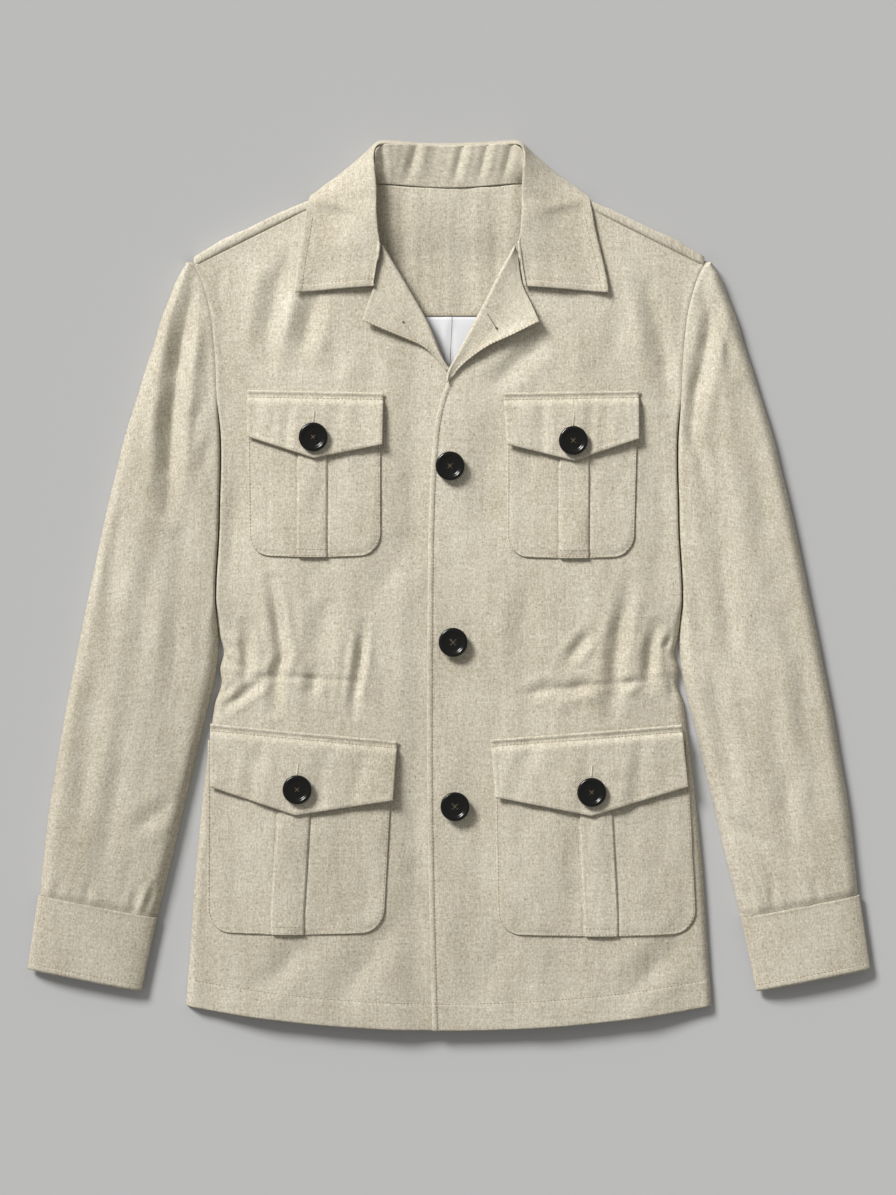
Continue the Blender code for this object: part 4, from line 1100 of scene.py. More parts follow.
@dataclass
class Cloth:
    """A sewn piece of cloth: a grid of outer points made into a thin shell."""

    name: str
    points: Array
    grain: Array
    thickness: float
    cut: Cut
    rests_on: tuple[str, ...]
    material: Material
    slot: str = "linen_cloth"
    held: Held = Held.LAID
    faces_up: bool = True
    ring: bool = False
    merge: float = 0.00001  # in metres

    def build(self) -> Object:
        """Returns:
            The finished piece.
        """
        rows, columns = self.points.shape[:2]
        form = bmesh.new()
        bmesh.ops.create_grid(form, x_segments=columns - 1, y_segments=rows - 1, size=0.5)
        first = self.points[0]
        middle = columns // 2
        across = first[middle + 1] - first[middle]
        along = self.points[1][middle] - first[middle]
        if (np.cross(across, along)[2] > 0.0) != self.faces_up:
            bmesh.ops.reverse_faces(form, faces=form.faces)
        mesh = mesh_of(form, self.name)
        mesh.vertices.foreach_set("co", (self.points * MM).astype(np.float32).ravel())
        corners = np.empty(len(mesh.loops), np.int32)
        mesh.loops.foreach_get("vertex_index", corners)
        layer = mesh.uv_layers.new(name="Grain")
        layer.data.foreach_set("uv", (self.grain.reshape(-1, 2)[corners] * MM).astype(np.float32).ravel())
        if self.ring:
            form = bmesh.new()
            form.from_mesh(mesh)
            bmesh.ops.remove_doubles(form, verts=form.verts, dist=self.merge)
            form.to_mesh(mesh)
            form.free()
        mesh.shade_smooth()
        mesh.materials.append(self.material)
        mesh.update()
        piece = add_piece(self.name + "_cloth", mesh, self.name, self.thickness)
        log.info("%s: %d by %d points", piece.name, rows, columns)
        return piece


@dataclass
class Stitching:
    """Rows of stitches, each an instance of one small thread, along lines on the cloth."""

    name: str
    pitch: float
    length: float
    width: float
    material: Material
    turned: bool = False
    lines: list[Array] = field(default_factory=list)

    def tree(self) -> GeometryNodeTree:
        """The node tree that sets stitches along the edges of a mesh."""
        tree = bpy.data.node_groups.new(self.name + "_stitches", "GeometryNodeTree")
        face = tree.interface
        face.new_socket("Geometry", in_out="INPUT", socket_type="NodeSocketGeometry")
        for label in ("Pitch", "Length", "Width", "Turn"):
            face.new_socket(label, in_out="INPUT", socket_type="NodeSocketFloat")
        face.new_socket("Material", in_out="INPUT", socket_type="NodeSocketMaterial")
        face.new_socket("Geometry", in_out="OUTPUT", socket_type="NodeSocketGeometry")
        graph = Graph(tree)
        given = graph.add("NodeGroupInput").outputs
        curve = graph.add("GeometryNodeMeshToCurve", {"Mesh": given["Geometry"]}).outputs[0]
        points = graph.add("GeometryNodeCurveToPoints", {"Curve": curve, "Length": given["Pitch"]},
                           mode="LENGTH").outputs
        facing = graph.add("FunctionNodeAlignRotationToVector", {"Vector": points["Tangent"]}, axis="X",
                           pivot_axis="Z").outputs[0]
        turn = graph.add("ShaderNodeCombineXYZ", {"Z": given["Turn"]}).outputs[0]
        turned = graph.add("FunctionNodeRotateRotation", {"Rotation": facing, "Rotate By": turn},
                           rotation_space="LOCAL").outputs[0]
        ball = graph.add("GeometryNodeMeshUVSphere", {"Segments": 6, "Rings": 4, "Radius": 0.5})
        size = graph.add("ShaderNodeCombineXYZ", {"X": given["Length"], "Y": given["Width"],
                                                  "Z": given["Width"]}).outputs[0]
        placed = graph.add("GeometryNodeInstanceOnPoints", {
            "Points": points["Points"], "Instance": ball.outputs["Mesh"], "Rotation": turned,
            "Scale": size}).outputs[0]
        solid = graph.add("GeometryNodeRealizeInstances", {"Geometry": placed}).outputs[0]
        painted = graph.add("GeometryNodeSetMaterial", {"Geometry": solid, "Material": given["Material"]})
        graph.add("NodeGroupOutput", {"Geometry": painted.outputs[0]})
        return tree

    def build(self) -> Object:
        """Make one plain mesh of all the stitches.

        Returns:
            The finished piece.
        """
        path = add_object(self.name + "_path", wire_mesh(self.lines, self.name + "_path"))
        tree = self.tree()
        sewn = path.modifiers.new("Stitches", "NODES")
        sewn.node_group = tree
        values = {"Pitch": self.pitch * MM, "Length": self.length * MM, "Width": self.width * MM,
                  "Turn": math.pi / 2.0 if self.turned else 0.0, "Material": self.material}
        for item in tree.interface.items_tree:
            if item.in_out == "INPUT" and item.name in values:
                sewn[item.identifier] = values[item.name]
        plain = evaluated_mesh(path)
        bpy.data.objects.remove(path)
        plain.shade_smooth()
        log.info("%s: %d lines, %d faces", self.name, len(self.lines), len(plain.polygons))
        return add_piece(self.name, plain)


@dataclass
class Workroom:
    """What the pieces are made with: the materials, and the topstitching that they add lines to."""

    wardrobe: Wardrobe
    topstitching: Stitching

    def sew(self, *lines: Array) -> None:
        """Add lines of topstitching."""
        self.topstitching.lines.extend(lines)

    def linen(self, name: str, points: Array, grain: Array, thickness: float, cut: Cut,
              *rests_on: str, **ways) -> None:
        """Make a piece of linen; the rest of the ways are those of Cloth."""
        Cloth(name, points, grain, thickness, cut, rests_on, self.wardrobe.linen, **ways).build()


@dataclass
class Front:
    """One front panel, from its edge round to the side and up to the shoulder seam; sizes in mm."""

    side: Side
    thickness: float = 1.3
    cut: Cut = Cut(0.28, 0.76, 0.163)
    edge: TurnedEdge = TurnedEdge(4.9, 0.9, 0.6, 11)
    hem: TurnedEdge = TurnedEdge(24.0, 0.4, 0.35, 12)
    armhole: TurnedEdge = TurnedEdge(4.0, 0.7, 0.0, 13)
    row_step: float = 2.3
    hem_row: float = 0.8
    edge_columns: tuple[float, ...] = (0.0, 0.7, 1.6, 2.8, 4.0, 4.9, 5.8, 7.2, 9.0)
    middle_columns: int = 88
    sewn_below_y: float = 172.0
    grain_start: float = 500.0

    def rows(self) -> Array:
        """The table's rows for this side: x and y of the edge, y at the side."""
        columns = (0, 2, 4) if self.side == Side.RIGHT else (1, 3, 4)
        return np.array(FRONT_ROWS)[:, columns]

    def edge_x(self, y: Array) -> Array:
        """x of the front's own edge, below the revers."""
        if self.side == Side.RIGHT:
            return np.full(y.shape, UNDER_EDGE_X)
        table = self.rows()
        return hermite(table[:, 1], table[:, 0], y)

    def surface(self, x: Array, y: Array) -> Array:
        """The front's own surface, with its turned edges and seams.

        Args:
            x, y: places on the cloth.

        Returns:
            Height at each place.
        """
        height = front_height(x, y)
        if self.side == Side.RIGHT:
            height = height - under_drop(x)
        from_edge = self.side.value * (x - self.edge_x(y))
        for turned, distance in ((self.edge, from_edge), (self.hem, y - hem_y(x))):
            height = height + turned.fold(distance) + turned.pucker(distance, x, y)
        from_armhole = side_x(y) - np.abs(x)
        armhole = self.armhole.fold(from_armhole) + self.armhole.pucker(from_armhole, x, y)
        return height + armhole * seam_share(y)

    def grid(self) -> tuple[Array, Array]:
        """x and y of the panel's points."""
        side = self.side.value
        table = self.rows()
        rows = len(table)
        places = row_places(np.diff(table[:, 1]), self.row_step, (self.hem.stitch, self.hem_row))
        line = hermite(np.arange(rows), table, places)
        inner_x, inner_y, outer_y = (line[:, k:k + 1] for k in range(3))
        outer_x = side * side_x(outer_y)
        roll_x = outer_x - side * EDGE_ROLL
        edge = np.array(self.edge_columns)
        even = np.linspace(0.0, 1.0, self.middle_columns)[1:]
        turn = np.linspace(math.pi / 2.0, 0.0, ROLL_STEPS + 1)[1:]
        x = np.hstack([inner_x + side * edge, mix(inner_x + side * edge[-1], roll_x, even),
                       outer_x - side * EDGE_ROLL * (1.0 - np.cos(turn))])
        share = (x - inner_x) / (outer_x - inner_x)
        start = int(np.argmax(table[:, 2] >= ARMPIT_Y))
        climb = np.clip(places - start, 0.0, None)[:, None] / (rows - 1 - start)
        last_x, last_y, last_side_y = table[-1]
        end_x = side * side_x(last_side_y)
        straight_y = mix(last_y, last_side_y, (x - last_x) / (end_x - last_x))
        to_seam = shoulder_y(x) - GAP / 2.0 - straight_y
        y = mix(inner_y, outer_y, share) + to_seam * climb ** 2
        at_hem = np.clip(1.0 - places, 0.0, 1.0)[:, None]
        y += at_hem * (hem_y(x) - mix(table[0, 1], table[0, 2], share))
        return x, y

    def build(self, room: Workroom) -> None:
        """Make the panel and its topstitching."""
        x, y = self.grid()
        points = np.dstack([x, y, np.maximum(self.surface(x, y), 0.0)])
        tuck = points[-1:] + np.array([0.0, SEAM_TUCK, -SEAM_DROP])
        points = np.concatenate([points, tuck])
        grain = points[:, :, :2] + np.array([self.grain_start * self.side.value, 0.0])
        room.linen("front_" + self.side.label, points, grain, self.thickness, self.cut, "back")
        if self.side == Side.LEFT:
            room.sew(inset_line(points, self.edge.stitch)[points[:, 0, 1] < self.sewn_below_y])
        room.sew(inset_line(points[:, :-ROLL_STEPS], self.hem.stitch, axis=0))


@dataclass
class Back:
    """The back on the floor, with its strips over the shoulders; sizes in mm."""

    thickness: float = 1.3
    cut: Cut = Cut(0.47, 0.76, 0.335)
    wrap_depth: float = 6.0  # half the height of the fold along the shoulder
    wrap_from_x: float = 84.0  # the fold starts beside the neck
    wrap_steps: int = 10
    flat_row_step: float = 0.05  # where there is no fold, its rows lie this close together
    top_clear: float = 0.5  # the top edge lies this far below the neck seam
    column_step: float = 0.16
    row_step: float = 4.5
    sewn_x: Pair = (136.0, 222.0)
    sewn_above_seam: float = 1.4
    sewn_points: int = 40
    grain_start: float = 1500.0

    def build(self, room: Workroom) -> None:
        """Make the panel and the stitches beside the shoulder seams."""
        top_x = np.array([-x for x in reversed(BACK_TOP_X[1:])] + BACK_TOP_X)
        index = np.arange(len(top_x))
        fine = spread(len(top_x) - 1.0, self.column_step)
        turn = np.interp(fine, index, np.where(np.abs(top_x) < self.wrap_from_x, 0.0, 1.0))
        top_x = np.interp(fine, index, top_x)
        top_y = mix(neck_y(top_x) - self.top_clear, outline_y(top_x) - self.wrap_depth, turn)
        low_y, high_y = BACK_SIDE_Y
        rows = []
        for side_y in spread(high_y - low_y, self.row_step) + low_y:
            half = side_x(side_y) - mix(FLOOR_INSET, 0.0, seam_share(side_y))
            x = top_x / BACK_TOP_X[-1] * half
            y = mix(hem_y(x), top_y, (side_y - low_y) / (high_y - low_y))
            rows.append(np.stack([x, y, HIDDEN_LEAF.at(x, y)], axis=1))
        x, y, lift = rows[-1].T
        for step in range(1, self.wrap_steps + 2):
            angle = math.pi * min(step, self.wrap_steps) / self.wrap_steps
            over_y = y + self.wrap_depth * math.sin(angle) ** 0.6
            if step > self.wrap_steps:
                over_y = shoulder_y(x) + GAP / 2.0
            turned = math.copysign(abs(math.cos(angle)) ** 0.7, math.cos(angle))
            over_z = mix(lift, SEAM_HEIGHT, 0.5 - 0.5 * turned)
            rows.append(np.stack([x, mix(y + self.flat_row_step * step, over_y, turn),
                                  mix(lift, over_z, turn)], axis=1))
        points = np.array(rows)
        grain = np.dstack([points[:, :, 0] + self.grain_start, arc_lengths(points, 0)])
        room.linen("back", points, grain, self.thickness, self.cut, "floor", held=Held.FOLDED,
                   faces_up=False)
        for side in Side:
            x = side.value * np.linspace(*self.sewn_x, self.sewn_points)
            y = shoulder_y(x) + self.sewn_above_seam
            room.sew(np.stack([x, y, np.full(x.shape, SEAM_HEIGHT + 0.1)], axis=1))


@dataclass
class NeckInside:
    """The facing inside the back neck and the lining below it; sizes in mm."""

    facing_end_y: float = 239.0  # where the facing gives way to the lining
    facing_half: Pair = (88.0, 68.0)
    facing_wall: float = 1.2
    facing_shell: float = 0.9
    facing_cut: Cut = Cut(0.18, 0.115, 0.0175)
    facing_clear: float = 0.2  # below the neck seam
    facing_edge: TurnedEdge = TurnedEdge(3.0, 0.3, 0.2)
    facing_waves: tuple[Waves, ...] = (Waves(3.4, 14.0, 160.0, 21), Waves(0.8, 6.0, 40.0, 22))
    facing_wave_share: float = 0.6
    facing_calm: Pair = (0.25, 15.0)  # waves left at the top, and below it
    facing_sewn: float = 2.6
    facing_grain: float = 2200.0
    lining_end_y: float = 60.0
    lining_half: Pair = (176.0, 150.0)
    lining_wall: float = 1.0
    lining_shell: float = 0.5
    lining_cut: Cut = Cut(0.36, 0.18, 0.0585)
    lining_waves: tuple[Waves, ...] = (Waves(0.6, 12.0, 120.0, 23), Waves(0.2, 6.0, 30.0, 24))
    lining_grain: float = 2600.0
    seam_x: float = 1.2  # the lining's centre seam, which sways a little
    seam_sway: float = 1.0
    seam_sway_length: float = 17.0
    pleat_rise: float = 1.5
    pleat_width: float = 9.0
    seam_groove: float = 0.8
    # x of the seam's stitches, drawn dark and unbroken: a real seam whose dark line is painted shade beside
    # the pleat's fold
    seam_shade_line_x: float = 1.6
    rows: int = 70
    column_step: float = 0.011
    side_columns: int = 12  # of the facing, which the fronts cover

    def build(self, room: Workroom) -> None:
        """Make the facing and the lining."""
        across = (2.0 * spread(1.0, self.column_step) - 1.0)[None, :]
        rise = np.linspace(0.0, 1.0, self.rows)[:, None]
        self.facing(across, rise, room)
        self.lining(across, rise, room)

    def facing(self, across: Array, rise: Array, room: Workroom) -> None:
        """Make the facing.

        Args:
            across: -1 to 1 from side to side.
            rise: 0 to 1 from the bottom up.
            room: what it is made with.
        """
        x = across * mix(*self.facing_half, rise)
        y = mix(self.facing_end_y, neck_y(x) - self.facing_clear, rise)
        level = HIDDEN_LEAF.at(x, y) + STAND_SEAM.at(x, y) + CLOTH + LOOSE_GAP + self.facing_wall
        left, below = self.facing_calm
        soft = soft_waves(self.facing_waves, x, y) * mix(left, 1.0, smooth((neck_y(x) - y) / below))
        from_end = y - self.facing_end_y
        soft = self.facing_wave_share * soft * smooth(from_end / 9.0)
        points = np.dstack([x, y, level + soft + self.facing_edge.fold(from_end)])
        grain = np.dstack([x + self.facing_grain, y])
        room.linen("back_neck_facing", points, grain, self.facing_shell, self.facing_cut, "back")
        room.sew(inset_line(points[:, self.side_columns:-self.side_columns], self.facing_sewn, axis=0))

    def lining(self, across: Array, rise: Array, room: Workroom) -> None:
        """Make the lining, with its pleat and centre seam; the seam is stitched as one dark line, painted
        shade beside the pleat's fold.

        Args:
            across: -1 to 1 from side to side.
            rise: 0 to 1 from the bottom up.
            room: what it is made with.
        """
        x = across * mix(*self.lining_half, rise)
        y = mix(self.lining_end_y, self.facing_end_y - GAP, rise) + 0.0 * x
        level = HIDDEN_LEAF.at(x, y) + CLOTH + GAP + self.lining_wall
        sway = self.seam_sway * np.sin(y / self.seam_sway_length)
        from_seam = x - self.seam_x - sway
        pleat = self.pleat_rise * smooth((from_seam + self.pleat_width) / self.pleat_width)
        pleat = pleat * smooth(-from_seam / 0.7) - self.seam_groove * np.exp(-(from_seam / 0.9) ** 2)
        soft = 0.5 * (soft_waves(self.lining_waves, x, y) + 0.5)
        points = np.dstack([x, y, level + soft * smooth((self.facing_end_y - y) / 8.0) + pleat])
        Cloth("lining", points, np.dstack([x + self.lining_grain, y]), self.lining_shell,
              self.lining_cut, ("back",), room.wardrobe.lining, slot="lining_cloth").build()
        # the seam's stitches overlap into one dark line: a real seam, with painted shade along the pleat's
        # fold
        sewn_x = self.seam_shade_line_x + sway[:, 0]
        sewn_z = np.array([np.interp(place, row[:, 0], row[:, 2]) for place, row in zip(sewn_x, points)])
        seam = Stitching("lining_seam_shade_line", 1.0, 1.3, 0.32, room.wardrobe.stitch)
        seam.lines.append(np.column_stack([sewn_x, y[:, 0], sewn_z + 0.25]))
        seam.build()


@dataclass
class Sleeve:
    """A sleeve in two halves; sizes in mm."""

    side: Side
    thickness: float = 1.3
    top_cut: Cut = Cut(0.155, 0.62, 0.0775)
    under_cut: Cut = Cut(0.125, 0.58, 0.0655)
    crown: float = 2.5
    cap_end_share: float = 0.85  # height of the sleeve at its very top, as a share
    cap_rows: int = 3  # rows of the cap that have no half on the floor
    floor_step: float = 1.4  # the wall stands upright this far above the floor
    cuff_dip: float = 1.9  # the sleeve comes down to the cuff over its last stretch
    cuff_dip_length: float = 5.5
    edge_tuck: float = 0.15  # below the armpit, where no seam shows
    seam: TurnedEdge = TurnedEdge(4.0, 0.8, 0.0, 34)
    waves: tuple[Waves, ...] = (Waves(1.1, 30.0, 120.0, 31), Waves(0.5, 13.0, 46.0, 32),
                                Waves(0.14, 7.0, 11.0, 33))
    row_step: float = 2.7
    middle_columns: int = 44
    under_columns: int = 26
    top_grain: Pair = (3200.0, 300.0)  # start, and step to each side
    under_grain: float = 4000.0

    def build(self, room: Workroom) -> None:
        """Make the half that shows and the half on the floor."""
        table = np.array(SLEEVE_ROWS)
        middle = (table[:, :2] + table[:, 2:]) / 2.0
        places = row_places(np.hypot(*np.diff(middle, axis=0).T), self.row_step)
        line = hermite(np.arange(len(table)), table, places)
        self.top_half(places, line, room)
        self.under_half(line[places >= self.cap_rows], room)

    def surface(self, x: Array, y: Array, s: Array, length: Array,
                inner_y: Array) -> Array:
        """Outer surface of the half that shows.

        Args:
            x, y: places on the cloth.
            s: distances from the sleeve's inner edge.
            length: width of the sleeve in each row.
            inner_y: y of each row's inner edge.

        Returns:
            Height at each place.
        """
        reach = np.minimum(SLEEVE_ROLL, SLEEVE_ROLL_SHARE * length)
        inner_reach = mix(reach, CONTACT_ROLL, contact_share(inner_y))
        inner = mix(quarter_roll(s, inner_reach), 1.0, seam_share(inner_y))
        outer = quarter_roll(length - s, reach)
        height = SEAM_HEIGHT + self.crown * np.sin(math.pi * s / length)
        near = smooth(np.minimum(s, length - s) / SLEEVE_ROLL)
        creases = CREASE_DEPTH * crease_depth(self.side.value * x, y, SLEEVE_CREASES)
        soft = near * (soft_waves(self.waves, x, y) - creases)
        seam = seam_share(inner_y) * (self.seam.fold(s) + self.seam.pucker(s, x, y))
        return height * inner * outer + soft + seam

    def top_half(self, places: Array, line: Array, room: Workroom) -> None:
        """Make the half that shows.

        Args:
            places: positions along the table's rows.
            line: the table's columns there.
            room: what it is made with.
        """
        side = self.side.value
        inner_x, inner_y, outer_x, outer_y = (line[:, k:k + 1] for k in range(4))
        length = np.hypot(outer_x - inner_x, outer_y - inner_y)
        reach = np.minimum(SLEEVE_ROLL, SLEEVE_ROLL_SHARE * length)
        turn = np.linspace(0.0, math.pi / 2.0, ROLL_STEPS + 1)[:-1]
        even = np.linspace(0.0, 1.0, self.middle_columns)
        s = np.hstack([reach * (1.0 - np.cos(turn)), mix(reach, length - reach, even),
                       length - reach * (1.0 - np.cos(turn[::-1]))])
        x = mix(inner_x, outer_x, s / length)
        y = mix(inner_y, outer_y, s / length)
        away = inner_x - side_x(inner_y) - GAP
        x = x - away * contact_share(inner_y) * smooth(1.0 - s / SLEEVE_ROLL)
        z = self.surface(x, y, s, length, inner_y)
        z[:, 0] = np.maximum(z[:, 0], self.floor_step)
        z = z * mix(self.cap_end_share, 1.0, np.clip(places, 0.0, 1.0))[:, None]
        steps = np.hypot(*np.diff(line[:, :2] + line[:, 2:], axis=0).T) / 2.0
        down = np.concatenate([[0.0], np.cumsum(steps)])
        dip = self.cuff_dip * smooth(1.0 - (down[-1] - down) / self.cuff_dip_length)
        z = z - dip[:, None] * smooth(z / SEAM_HEIGHT)
        points = np.dstack([side * x, y, np.maximum(z, 0.0)])
        tuck = self.edge_tuck + SEAM_TUCK * seam_share(inner_y)
        first = points[:, :1] - tuck[:, :, None] * np.array([side, 0.0, SEAM_DROP / SEAM_TUCK])
        first[:, :, 2] *= smooth(4.0 * seam_share(inner_y))
        points = np.concatenate([first, points], axis=1)
        last = points[-1:] + (points[-1:] - points[-2:-1]) * SEAM_TUCK / (down[-1] - down[-2])
        last[:, :, 2] = np.maximum(points[-1:, :, 2] - SEAM_DROP, 0.0)
        points = np.concatenate([points, last])
        s = np.hstack([-tuck, s])
        s = np.concatenate([s, s[-1:]])
        down = np.append(down, down[-1] + SEAM_TUCK)
        start, to_side = self.top_grain
        grain = np.dstack([s + start + to_side * side, np.broadcast_to(-down[:, None], s.shape)])
        room.linen("sleeve_top_" + self.side.label, points, grain, self.thickness, self.top_cut,
                   "sleeve_under_" + self.side.label)

    def under_half(self, line: Array, room: Workroom) -> None:
        """Make the half on the floor.

        Args:
            line: the table's columns, below the cap.
            room: what it is made with.
        """
        inner_x, inner_y, outer_x, outer_y = (line[:, k:k + 1] for k in range(4))
        length = np.hypot(outer_x - inner_x, outer_y - inner_y)
        first = mix(FLOOR_INSET, 0.0, seam_share(inner_y))
        share = mix(first, length - FLOOR_INSET, np.linspace(0.0, 1.0, self.under_columns)) / length
        x = mix(inner_x, outer_x, share)
        y = mix(inner_y, outer_y, share)
        points = np.dstack([self.side.value * x, y, np.zeros(x.shape)])
        room.linen("sleeve_under_" + self.side.label, points, np.dstack([x + self.under_grain, y]),
                   self.thickness, self.under_cut, "floor", faces_up=False)


@dataclass
class Cuff:
    """The cuff of a sleeve, a flattened ring; sizes in mm."""

    side: Side
    top: tuple = ((259.2, -295.0), (364.6, -274.6))  # x and y of its inner and outer corner
    end: tuple = ((273.0, -360.3), (374.4, -340.4))
    height: float = 12.5
    crown: float = 1.2
    thickness: float = 1.6
    cut: Cut = Cut(0.225, 0.067, 0.0148)
    edge: TurnedEdge = TurnedEdge(6.0, 0.4, 0.3)
    ridge: float = 0.45  # the fold at the cuff's upper edge
    ridge_from_top: float = 1.5
    waves: tuple[Waves, ...] = (Waves(0.35, 24.0, 30.0, 41), Waves(0.15, 9.0, 9.0, 42))
    row_step: float = 2.4
    ring_points: int = 121
    end_power: float = 0.35  # gathers the ring's points towards its round ends
    sewn_columns: tuple[int, int] = (6, 56)
    grain_start: float = 4600.0

    def build(self, room: Workroom) -> None:
        """Make the ring and its topstitching."""
        depth = math.dist(self.top[0], self.end[0])
        along = spread(depth, self.row_step, (0.7, self.ridge_from_top, depth - self.edge.stitch))
        share = (along / depth)[:, None, None]
        inner, outer = (mix(np.array(self.top[k]), np.array(self.end[k]), share) for k in range(2))
        length = np.linalg.norm(outer - inner, axis=2)
        radius = self.height / 2.0
        angle = np.linspace(0.0, 2.0 * math.pi, self.ring_points)
        end = np.copysign(np.abs(np.cos(angle)) ** self.end_power, np.cos(angle))
        across = (length / 2.0 + end * (length / 2.0 - radius) + radius * np.cos(angle)) / length
        x = mix(inner[:, :, 0], outer[:, :, 0], across)
        y = mix(inner[:, :, 1], outer[:, :, 1], across)
        extra = self.ridge * np.exp(-((along - self.ridge_from_top) / 1.3) ** 2)
        extra = (extra + self.edge.fold(depth - along))[:, None] + soft_waves(self.waves, x, y)
        above = np.clip(np.sin(angle), 0.0, 1.0)
        z = radius + radius * np.sin(angle) + above * (self.crown * np.sin(math.pi * across) + extra)
        points = np.dstack([self.side.value * x, y, z])
        points[:, -1] = points[:, 0]
        quarter = self.ring_points // 4
        ring = np.roll(points[:, :-1], -quarter + (self.ring_points - 1) // 2, axis=1)
        ring = np.concatenate([ring, ring[:, :1]], axis=1)
        around = arc_lengths(ring, 1)
        grain = np.dstack([around + self.grain_start, np.broadcast_to(along[:, None], around.shape)])
        room.linen("cuff_" + self.side.label, ring, grain, self.thickness, self.cut,
                   "sleeve_top_" + self.side.label, held=Held.FOLDED, ring=True)
        room.sew(inset_line(points[:, slice(*self.sewn_columns)], self.edge.stitch, axis=0, from_end=True))


@dataclass
class Leaf:
    """The collar's leaf, on the fronts, over the shoulders and folded under the back; sizes in mm."""

    thickness: float = 1.3
    cut: Cut = Cut(0.46, 0.085, 0.036)
    edge: TurnedEdge = TurnedEdge(7.0, seed=53)
    waves: tuple[Waves, ...] = (Waves(0.45, 26.0, 34.0, 51), Waves(0.16, 9.0, 11.0, 52))
    curl_in: float = 1.4  # how far the fold curls back towards the neck
    curl_down: float = 3.4
    least_curl: float = 0.05
    rise_share: float = 0.7  # the leaf comes down to the front in this share of its width
    edge_lift: float = 1.5
    gorge_lift: float = 1.6  # the lower edge stands off the front
    gorge_lift_length: float = 26.0
    corner_x: float = -66.0  # where the top edge turns round its corner
    flare: Pair = (2.3, 6.8)  # lean of the lower corners, wearer's right and left
    flare_from_y: float = 330.0
    flare_length: float = 75.0
    width: float = 68.0
    loose_from_x: float = 70.0  # nearer the neck than this, the leaf isn't seated on the fronts
    sewn_below_y: float = 325.0
    row_step: float = 1.9
    columns: int = 44
    grain_start: float = 5200.0

    def sections(self) -> Array:
        """Six control points for each section, gorge to the middle of the back."""
        sections = []
        shares = np.array([0.0, 0.25, 0.5, 0.75, 1.0])
        for fold_x, fold_y, rise, edge_x, edge_y, curl in COLLAR_FRONT_ROWS:
            x = mix(fold_x, edge_x, shares)
            y = mix(fold_y, edge_y, shares)
            z = front_height(x, y) + LOOSE_GAP + CLOTH
            z = z + rise * (1.0 - smooth(shares / self.rise_share)) + self.edge_lift * shares ** 2
            curl = max(curl, self.least_curl)
            start = (fold_x + self.curl_in * curl, fold_y, z[0] - self.curl_down * curl)
            sections.append([start, *zip(x, y, z)])
        for controls in COLLAR_BACK_ROWS:
            x, y, z = controls[0]
            inward = (self.curl_in, 0.0) if x < self.corner_x else (0.0, -self.curl_in)
            sections.append([(x + inward[0], y + inward[1], z - self.curl_down), *controls])
        return np.array(sections)

    def flared(self, points: Array) -> Array:
        """Lean the lower corners outward, and keep the leaf on the fronts.

        Args:
            points: the leaf's points.

        Returns:
            The points in their new places.
        """
        x, y, z = points.transpose(2, 0, 1)
        flare = np.where(x < 0.0, *self.flare) * smooth((self.flare_from_y - y) / self.flare_length)
        x = x + np.copysign(flare, x) * np.clip((np.abs(x) - NECK_HALF) / self.width, 0.0, 1.0)
        seat = front_height(x, y) + LOOSE_GAP + CLOTH
        on_cloth = (y < self.flare_from_y) & (np.abs(x) > self.loose_from_x)
        return np.dstack([x, y, np.where(on_cloth, np.maximum(z, seat), z)])

    def build(self, room: Workroom) -> None:
        """Make the leaf and its topstitching."""
        sections = self.sections()
        steps = np.linalg.norm(np.diff(sections[:, 1], axis=0), axis=1)
        places = row_places(steps, self.row_step, (0.9, self.edge.stitch))
        fine = hermite(np.arange(len(sections)), sections.reshape(len(sections), -1), places)
        half = catmull(fine.reshape(len(places), -1, 3), self.columns)
        mirror = half[:-1][::-1] * np.array([-1.0, 1.0, 1.0])
        points = self.flared(np.concatenate([half, mirror]))
        normals = grid_normals(points)
        normals *= np.sign(normals[3, 20, 2])
        across = arc_lengths(points, 1)
        along = arc_lengths(half, 0)
        along = np.concatenate([along, along[:-1][::-1]])
        x, y = points[:, :, 0], points[:, :, 1]
        rim = across[:, -1:] - across
        on_front = smooth((335.0 - y) / 20.0)
        edge = self.edge.fold(rim) * on_front
        lower = self.edge.fold(along) * smooth((across - 3.0) / 6.0)
        soft = soft_waves(self.waves, x, y)
        puckers = self.edge.pucker(rim, x, y) * on_front
        points = points + normals * (edge + np.minimum(lower, 0.5) + soft + puckers)[:, :, None]
        away = smooth(across / 12.0) * (1.0 - 0.7 * smooth((across - 38.0) / 26.0))
        points[:, :, 2] += self.gorge_lift * smooth(1.0 - along / self.gorge_lift_length) * away
        points[:, :, 2] = np.maximum(points[:, :, 2], 0.0)
        grain = np.dstack([across + self.grain_start, along])
        room.linen("collar", points, grain, self.thickness, self.cut, "front_right", "front_left",
                   "back", held=Held.FOLDED)
        count = int(np.argmin(points[:len(half), -1, 1] < self.sewn_below_y))
        for part in (points[:count], points[::-1][:count]):
            room.sew(inset_line(part, self.edge.stitch, from_end=True)[4:],
                     inset_line(part, self.edge.stitch, axis=0)[3:-7])


